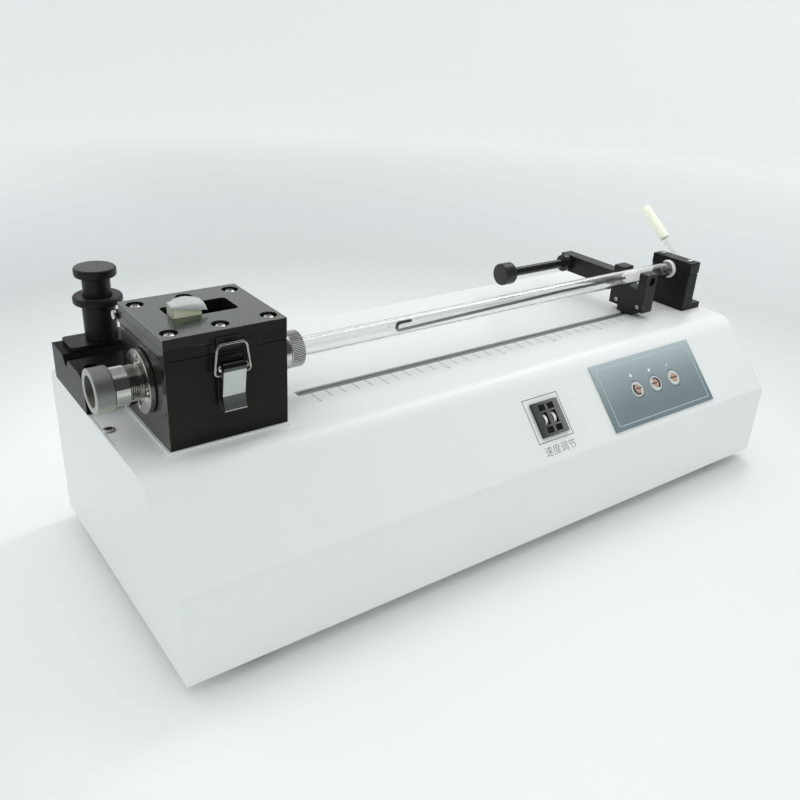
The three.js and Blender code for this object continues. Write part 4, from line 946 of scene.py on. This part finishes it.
aged_clear = Finish("aged_clear", transmission_weight=0.1, ior=1.45)
yellowing = aged_clear.cloud(90, 3)
block_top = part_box("injection_block")[1].z
low_down = 1 - aged_clear.along(2).above(block_top - 0.0065, 0.005)
yellow_share = yellowing * 0.5 + low_down * 0.5
aged_tone = aged_clear.tint(yellow_share, (0.86, 0.89, 0.78), (0.80, 0.84, 0.52))
# The block's left face is painted darker: painted shade.
left_face_painted_shade = aged_clear.face_of("injection_block", 0, False, 0.0008)
aged_clear.paint(left_face_painted_shade * 0.7, aged_tone, (0.42, 0.45, 0.43), 0.14 + yellowing * 0.16)
dress("injection_block", aged_clear, 0.3)

wrap = Finish("cloudy_film", transmission_weight=0.3, ior=1.3, specular=0.4)
crinkle = wrap.cloud(240, 4, 0.6)
wrap.paint(crinkle, (0.66, 0.70, 0.685), (0.84, 0.87, 0.85), 0.32 + crinkle * 0.2)
wrap.relief(crinkle, 0.0003, 0.35)
film_rows = [
    [(38.6, 84.9, 172.6), (43.9, 84.9, 171.4), (49.4, 84.9, 170.4),
     (54.6, 84.9, 169.6), (58.4, 85.0, 169.1)],
    [(38.0, 84.6, 173.9), (43.6, 84.5, 173.4), (49.2, 84.5, 173.1),
     (54.8, 84.6, 172.6), (58.0, 85.4, 171.0)],
    [(37.6, 86.0, 174.4), (43.6, 85.8, 174.5), (49.4, 85.8, 174.5),
     (55.2, 86.0, 174.2), (57.4, 87.2, 173.0)],
    [(38.4, 90.2, 174.3), (44.2, 90.2, 173.6), (49.5, 90.2, 173.6),
     (54.8, 90.0, 173.8), (56.4, 88.8, 173.8)],
    [(43.2, 94.4, 174.4), (46.6, 95.8, 174.6), (50.4, 96.3, 174.6),
     (54.4, 93.6, 174.4), (56.6, 90.0, 174.3)],
]
film_mesh = bmesh.new()
film_corners = [[film_mesh.verts.new(at(*place)) for place in row] for row in film_rows]
for near_row, far_row in zip(film_corners, film_corners[1:]):
    for k in range(len(near_row) - 1):
        film_mesh.faces.new((near_row[k], near_row[k + 1], far_row[k + 1], far_row[k]))
draped = finished("injection-film", film_mesh, Matrix.Identity(4), wrap, "lid", 89)
rounding = draped.modifiers.new("rounding", "SUBSURF")
rounding.levels = 3
rounding.render_levels = 3
rounding.boundary_smooth = "PRESERVE_CORNERS"
skin = draped.modifiers.new("skin", "SOLIDIFY")
skin.thickness = 0.00012
skin.offset = 1


# The draw latch: a polished base plate with ears, painted near black as painted shade and dark
# reflection, a sheet lever rolled round the pivot, and a wire bail that reaches over the dark
# catch on the lid. The lever is nickel plated and satin on its face, with painted dark reflection
# on its roll and lip and a painted highlight on the lip's edge, and the bail is polished chrome.

# The base plate's near black is painted shade and dark reflection; the catch on the lid is black.
latch_dark_with_painted_reflection = black_anodising(
    "latch_plate_dark_painted_reflection", "latch_base", 120, (0.012, 0.013, 0.011), (0.03, 0.032, 0.028), gloss=0.3
)
dress("latch_base", latch_dark_with_painted_reflection, 0.2)
dress("lid_catch", latch_dark_with_painted_reflection, 0.2)

FACE_FOOT, FACE_HEAD = 130.9, 145.6
latch_nickel = Finish("latch_nickel", metallic=1.0)
nickel_height = latch_nickel.along(2)
over_foot = nickel_height.above(at(0, 0, FACE_FOOT).z, 0.0004)
face_zone = over_foot * (1 - nickel_height.above(at(0, 0, FACE_HEAD).z, 0.0006))
nickel_grain = latch_nickel.cloud(800, 3)
# Off its satin face the nickel is painted near black, painted dark reflection on the roll and the
# lip, and the lip's lowest edge is painted almost white, a painted highlight.
lever_tone_with_painted_reflection = latch_nickel.tint(face_zone, (0.09, 0.095, 0.092), (0.58, 0.61, 0.575))
lip_painted_highlight = 1 - nickel_height.above(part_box("latch_lever")[0].z + 0.0004, 0.0003)
nickel_gloss = 0.09 + face_zone * 0.34 + nickel_grain * 0.06
latch_nickel.paint(lip_painted_highlight, lever_tone_with_painted_reflection, (0.85, 0.86, 0.84), nickel_gloss)
latch_nickel.relief(nickel_grain, 0.00002, 0.3)
dress("latch_lever", latch_nickel, 0.2)
bail_chrome = clouded(
    "bail_chrome", 500, (0.26, 0.265, 0.255), (0.52, 0.53, 0.51), 0.05, 0.08, metallic=1.0
)
dress("latch_bail", bail_chrome, 0)
rivet = [(0, 0), (2.1, 0), (2.05, 0.35), (1.7, 0.8), (1.0, 1.1), (0, 1.2)]
for label, x, way in (("left", 50.7, -1), ("right", 65.7, 1)):
    rivet_place = facing(at(x, 55.4, 147.4), (way, 0, 0))
    turned("latch-rivet-" + label, rivet, rivet_place, polished_pin, "case", 28)


# The furnace port: a steel flange with four screws over a dark gasket, a threaded sleeve, a
# polished lock ring and a satin aluminium cap nut. All are turned on a lathe.


def turned_metal(name, low, high, gloss, ridge, spread=0.14, stain=None):
    """Lathe-turned metal: fine marks that run round the tube's axis, and light stains."""
    finish = Finish(name, metallic=1.0)
    marks = finish.cloud(2600, 2, 0.6, finish.place(1, 0.02, 0.02))
    stains = finish.cloud(90, 4, 0.6)
    ground = finish.tint(marks * 0.5 + stains * 0.5, low, high)
    if stain:
        ground = finish.tint(stains.above(0.52, 0.2) * 0.5, ground, stain)
    finish.put(base_color=ground, roughness=gloss + marks * spread + stains * 0.05)
    finish.relief(marks, ridge, 0.5)
    return finish


TUBE_Y, TUBE_Z = 91.5, 132.8
tube_line = facing(at(0, TUBE_Y, TUBE_Z), (1, 0, 0))

port_steel = turned_metal(
    "port_steel", (0.36, 0.355, 0.325), (0.60, 0.59, 0.545), gloss=0.09, ridge=0.000004, spread=0.1
)
THREAD_TOP, THREAD_ROOT, THREAD_PITCH = 10.0, 9.2, 1.25
port_profile = [(8.0, -1.2), (9.3, -1.2), (THREAD_TOP, -0.5)]
thread_x = 0.2
while thread_x < 17.6:
    port_profile += [(THREAD_TOP, thread_x), (THREAD_ROOT, thread_x + 0.5)]
    port_profile += [(THREAD_ROOT, thread_x + 0.62), (THREAD_TOP, thread_x + 1.1)]
    thread_x += THREAD_PITCH
port_profile += [(9.4, 18.3), (9.4, 19.0), (10.4, 19.4), (17.6, 19.4), (18.0, 19.8), (18.0, 22.2)]
port_profile += [(9.7, 22.2), (9.7, 31.0), (8.0, 31.0)]
port = turned("port-sleeve", port_profile, tube_line, port_steel, "case", 96, closed=True)
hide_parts("port_flange")
gasket = [(9.8, 22.25), (17.6, 22.25), (17.6, 22.95), (9.8, 22.95)]
turned("port-gasket", gasket, tube_line, rubber, "case", 64, closed=True)
FLANGE_FACE, SCREW_CIRCLE = 19.4, 13.9
for k in range(4):
    angle = radians(90 * k)
    across, up = SCREW_CIRCLE * cos(angle), SCREW_CIRCLE * sin(angle)
    spot = at(FLANGE_FACE, TUBE_Y + across, TUBE_Z + up)
    pan_screw(f"flange-screw-{k + 1}", spot, (-1, 0, 0), 2.1, 0.9, "case", 0.3 + k)

lock_steel = turned_metal(
    "lock_ring_steel", (0.44, 0.45, 0.44), (0.66, 0.66, 0.63),
    gloss=0.07, ridge=0.00001, spread=0.06,
)
lock_profile = [(10.35, 4.0), (10.9, 4.0), (11.2, 4.3), (11.2, 11.7), (10.9, 12.0), (10.35, 12.0)]
lock = turned("lock-ring", lock_profile, tube_line, lock_steel, "port_lock_ring", 72, closed=True)
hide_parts("lock_ring")

cap_aluminium = turned_metal(
    "cap_aluminium", (0.24, 0.26, 0.255), (0.36, 0.385, 0.375),
    gloss=0.5, ridge=0.00002, spread=0.1,
)
# The cap's lower part is painted paler and greener, a painted reflection of the white deck below
# it, and its left rim face paler still, a painted highlight.
cap_rim_painted_highlight = cap_aluminium.face_of("cap_nut", 0, False, 0.0006)
rim_marks = cap_aluminium.cloud(1200, 2)
low_side_painted_reflection = 1 - cap_aluminium.along(2).above(at(0, 0, 124.5).z, 0.006)
cap_marks_and_painted_reflection = low_side_painted_reflection * 0.8 + rim_marks * 0.2
cap_tone_with_painted_reflection = cap_aluminium.tint(cap_marks_and_painted_reflection, (0.30, 0.32, 0.32), (0.56, 0.58, 0.48))
cap_aluminium.put(base_color=cap_aluminium.tint(cap_rim_painted_highlight, cap_tone_with_painted_reflection, (0.60, 0.61, 0.585)))
cap_profile = [(9.1, -6.4), (11.9, -6.4), (12.3, -6.0), (12.3, 3.4), (12.0, 3.7), (10.35, 3.7)]
cap_profile += [(10.35, -1.5), (8.8, -1.5), (8.8, -6.1)]
cap = turned("cap-nut", cap_profile, tube_line, cap_aluminium, "port_cap", 72, closed=True)
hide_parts("cap_nut")


# The tube port: a bright collar on the chamber's right side, and a nut on it with a diagonal
# knurl that squeezes the seal round the quartz tube.

collar_steel = turned_metal("collar_steel", (0.55, 0.55, 0.53), (0.78, 0.78, 0.75), 0.12, 0.00001)
dress("tube_collar", collar_steel, 0.3)
knurl_steel = Finish("knurl_steel", metallic=1.0)
knurl_marks = knurl_steel.cloud(1500, 3)
tube_middle = at(0, TUBE_Y, TUBE_Z) * Vector((0, 1, 1))
from_axis = knurl_steel.node(
    "VectorMath", {"operation": "SUBTRACT"}, {0: knurl_steel.place(0, 1, 1), 1: tube_middle}
)
depth_out = knurl_steel.node("VectorMath", {"operation": "LENGTH"}, {0: from_axis}, out="Value")
# The knurl's grooves are painted dark against its pale ridges: painted shade in the grooves.
ridge_over_painted_groove_shade = depth_out.above(0.01068, 0.0004)
knurl_steel.paint(ridge_over_painted_groove_shade, (0.2, 0.205, 0.2), (0.86, 0.87, 0.85), 0.36 + knurl_marks * 0.14)
FLUTES = 48
NUT_SIDES = FLUTES * 8
KNURL_START, KNURL_ROWS, KNURL_STEP = 108.6, 17, 0.5
KNURL_RADIUS, KNURL_SLANT, KNURL_DEPTH = 11.2, 0.36, 0.6


def knurled(radius, x, angle):
    """The nut's radius: slanting flutes cut its side where it is widest."""
    if radius < KNURL_RADIUS:
        return radius
    flute = angle * FLUTES / tau - (x - KNURL_START) * KNURL_SLANT
    return radius - KNURL_DEPTH * abs((flute % 1) * 2 - 1)


nut_rows = [(9.6, 107.7), (10.7, 107.7), (11.0, 108.0), (11.0, 108.5)]
nut_rows += [(KNURL_RADIUS, KNURL_START + k * KNURL_STEP) for k in range(KNURL_ROWS)]
nut_rows += [(10.9, 116.8), (10.5, 117.1), (6.4, 117.1), (6.4, 115.5), (9.6, 115.5)]
nut = turned("tube-nut", nut_rows, tube_line, knurl_steel, "tube_nut", NUT_SIDES, True, 25, knurled)
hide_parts("knurled_nut")


# The quartz tube: fused silica with a domed end and a leaning side arm, and a pale silicone
# sleeve pushed on the arm. The tube is clean but has faint drawn streaks along it.

quartz = Finish(
    "quartz", transmission_weight=1.0, ior=1.46, base_color=(0.985, 0.995, 0.99),
    coat_weight=1.0, coat_ior=1.65, coat_roughness=0.12,
)
streaks = quartz.cloud(500, 2, 0.5, quartz.place(0.01, 1, 1))
quartz.put(roughness=0.06 + streaks.above(0.5, 0.4) * 0.03)
TUBE_RADIUS, TUBE_BORE, TUBE_START, DOME_START = 6.0, 4.8, 85.3, 486.0
ARM_X, ARM_LEAN = 484.2, radians(39)
dome_angles = [pi / 2 * step / 10 for step in range(11)]


def domed(radius, bulge):
    """One wall of the tube: straight from the chamber, then a dome that stands out by bulge."""
    dome = [(radius * cos(a), DOME_START + bulge * sin(a)) for a in dome_angles]
    return [(radius, TUBE_START)] + dome


tube_walls = domed(TUBE_RADIUS, 5.0) + domed(TUBE_BORE, 3.8)[::-1]
tube = turned("quartz-tube", tube_walls, tube_line, quartz, "case", 72, closed=True)
arm_line = facing(at(ARM_X, TUBE_Y, TUBE_Z), (0, cos(ARM_LEAN), sin(ARM_LEAN)))
arm_wall = [(1.9, 5.5), (3.0, 5.5), (3.0, 42.7), (2.8, 43.0), (2.1, 43.0), (1.9, 42.7)]
arm = turned("tube-arm", arm_wall, arm_line, quartz, "case", 48, closed=True)
both = bmesh.new()
both.from_mesh(tube.data)
both.from_mesh(arm.data)
both.to_mesh(tube.data)
both.free()
bpy.data.objects.remove(arm)
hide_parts("quartz_tube")

# The sleeve glows faintly though it is no lamp: painted light.
silicone = clouded(
    "aged_silicone_painted_glow", 120, (0.93, 0.94, 0.76), (0.98, 0.985, 0.92), 0.38, 0.2,
    transmission_weight=0.2, ior=1.4, emission_color=(0.95, 0.97, 0.8), emission_strength=0.1,
)
silicone.grain(600, 0.0001, 0.4, detail=3)
sleeve_profile = [(3.3, 28.5), (4.0, 28.5), (4.15, 29.2), (4.1, 36), (4.15, 43), (3.85, 45)]
sleeve_profile += [(3.8, 55), (3.95, 60.2), (3.6, 61.0), (2.7, 60.4), (3.2, 44)]
sleeve = turned("side-sleeve", sleeve_profile, arm_line, silicone, "case", 40, closed=True)
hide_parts("side_sleeve")


# The tube's end support: a black anodised bracket screwed to the deck, with a cap held by two
# screws, and a white plastic ring that grips the tube on its left face.

support_black = black_anodising(
    "support_black", "end_support", 60,
    (0.007, 0.008, 0.009), (0.014, 0.0155, 0.017), gloss=0.28, specular=0.2,
)
cap_black = black_anodising(
    "support_cap_black", "end_support_cap", 60,
    (0.008, 0.009, 0.010), (0.016, 0.0175, 0.019), gloss=0.28, specular=0.25,
)
dress("end_support", support_black, 0.35)
dress("end_support_cap", cap_black, 0.35)
for label, y in (("front", 76.2), ("rear", 103.0)):
    pan_screw("support-cap-screw-" + label, at(472.0, y, 142.3), (0, 0, 1), 2.4, 1.3, "case", 0.8)
for label, y in (("front", 77.0), ("rear", 102.2)):
    pan_screw("support-foot-screw-" + label, at(483.6, y, 107.0), (0, 0, 1), 2.2, 1.1, "case", 0.3)
grip_white = clouded(
    "grip_white", 200, (0.78, 0.79, 0.78), (0.87, 0.88, 0.87), 0.38, 0.12,
    specular=0.4,
)
grip = [(6.1, 463.9), (6.5, 463.9), (6.9, 464.6), (7.35, 465.9), (6.1, 465.9)]
turned("grip-ring", grip, tube_line, grip_white, "case", 48, closed=True)


# The magnet carriage: a black cradle round the tube with a magnet in its front post, and an arm
# to the back that holds the pusher rod. The blade of the drive nut joins it through the slot.

carriage_tones = (0.009, 0.0105, 0.011), (0.018, 0.02, 0.021)
for name, node, specular in (
    ("carriage_black", "carriage_cradle", 0.28),
    ("arm_black", "carriage_arm", 0.3),
):
    finish = black_anodising(name, node, 80, *carriage_tones, gloss=0.24, specular=specular)
    dress(node, finish, 0.4)
magnet_black = clouded(
    "magnet_black", 500, (0.008, 0.008, 0.009), (0.03, 0.03, 0.032), 0.25, 0.2,
    specular=0.4,
)
dress("drive_magnet", magnet_black, 0.2)
CARRIAGE_FACE = 418.0
for label, y, z in (("rear", 100.8, 111.5), ("front", 79.3, 111.3)):
    spot = at(CARRIAGE_FACE, y, z)
    pan_screw("carriage-screw-" + label, spot, (-1, 0, 0), 1.7, 0.9, "carriage", 0.5)
arm_spot = at(CARRIAGE_FACE, 157.0, 130.6)
pan_screw("arm-set-screw", arm_spot, (-1, 0, 0), 1.5, 0.6, "carriage", 0.2)

rod_black = Finish("oxide_black_steel", metallic=0.35)
rod_rub = rod_black.cloud(160, 4, 0.6, rod_black.place(0.15, 1, 1))
rod_black.paint(rod_rub, (0.014, 0.015, 0.016), (0.035, 0.037, 0.04), 0.14 + rod_rub * 0.14)
dress("pusher_rod", rod_black, 0.3)
knob_black = Finish("knob_black", specular=0.45)
knob_marks = knob_black.cloud(1800, 2, 0.5, knob_black.place(1, 0.05, 0.05))
knob_smear = knob_black.cloud(70, 4)
knob_gloss = 0.32 + knob_marks * 0.14
knob_black.paint(knob_smear, (0.014, 0.015, 0.0165), (0.03, 0.032, 0.034), knob_gloss)
knob_black.relief(knob_marks, 0.00003, 0.5)
dress("pusher_knob", knob_black, 0.5)


# The boat rod inside the tube: a blued wire with a hook, on a white slug that follows the
# carriage's magnet. The rod lies loose in the tube and nothing fixes it.

blued_wire = clouded(
    "blued_wire", 260, (0.05, 0.052, 0.055), (0.16, 0.16, 0.16), 0.25, 0.15,
    stretch=(0.2, 1, 1), metallic=0.8,
)
thickened = dress("boat_rod", blued_wire, 0).modifiers.new("thickened", "DISPLACE")
thickened.strength = 0.0003
thickened.mid_level = 0
# The slug glows though it is no lamp: painted light inside the glass tube.
slug_white = clouded(
    "slug_white", 200, (0.86, 0.87, 0.86), (0.93, 0.94, 0.93), 0.38, 0.12,
    specular=0.4, emission_color=(0.9, 0.92, 0.92), emission_strength=0.55,
)
dress("magnet_slug", slug_white, 0.5)


# The syringe holder: a black anodised block with a groove for the barrel and two fixing holes,
# screwed to the deck next to the chamber.

holder_black = black_anodising(
    "holder_black", "syringe_holder", 40,
    (0.004, 0.0048, 0.0048), (0.008, 0.0092, 0.0092), gloss=0.34, specular=0.07,
    coat=(0.28, 0.2),
)
dress("syringe_holder", holder_black, 0.5)


# The spring clamp over the holder: a stud with a broad knob, a sleeve that is lifted against a
# wound spring, and a plate that presses on the barrel. Black moulded plastic and spring steel.

clamp_black = Finish("clamp_black", specular=0.22)
clamp_grain = clamp_black.cloud(240, 4)
thumb_marks = clamp_black.cloud(60, 4).above(0.5, 0.25)
knob_top = clamp_black.face_of("clamp_stud", 2, True, 0.0007)
clamp_gloss = 0.28 + clamp_grain * 0.16
clamp_black.paint(thumb_marks, (0.011, 0.012, 0.0125), (0.024, 0.026, 0.027), clamp_gloss)
clamp_black.put(coat_weight=knob_top * 0.45, coat_roughness=0.3)
clamp_black.grain(2600, 0.00003, 0.5)
for node, edge in (("clamp_stud", 0.6), ("clamp_sleeve", 0.3), ("clamp_plate", 0.4)):
    dress(node, clamp_black, edge)
worn_rim = clouded(
    "worn_rim", 300, (0.045, 0.044, 0.038), (0.15, 0.145, 0.13), 0.4, 0.2,
    specular=0.3,
)
rim_place = facing(at(27.5, 175.8, 154.6), (0, 0, 1))
rim_loops = [circle(0, 0, 11.6, 48), circle(0, 0, 10.9, 48)]
outlined("sleeve-rim", rim_loops, rim_place, -0.02, 0.05, worn_rim, "clamp")

SPRING_WIRE = 0.75
COILS = 5
COIL_STEPS = 24
spring_low, spring_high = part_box("clamp_spring")
spring_middle = (spring_low + spring_high) / 2
spring_radius = (spring_high.x - spring_low.x) / 2 / MM - SPRING_WIRE
coil_rise = (spring_high.z - spring_low.z) - 2 * SPRING_WIRE * MM
coil = bpy.data.curves.new("clamp-spring", "CURVE")
coil.dimensions = "3D"
coil.bevel_depth = SPRING_WIRE * MM
coil.bevel_resolution = 3
coil_spline = coil.splines.new("POLY")
coil_spline.points.add(COILS * COIL_STEPS)
for k, point in enumerate(coil_spline.points):
    share = k / (COILS * COIL_STEPS)
    angle = tau * COILS * share
    x = spring_middle.x + spring_radius * MM * cos(angle)
    y = spring_middle.y + spring_radius * MM * sin(angle)
    point.co = (x, y, spring_low.z + SPRING_WIRE * MM + coil_rise * share, 1)
spring = fixed("clamp-spring", meshed(coil), drive_steel, "case")
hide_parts("clamp_spring")
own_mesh(spring)
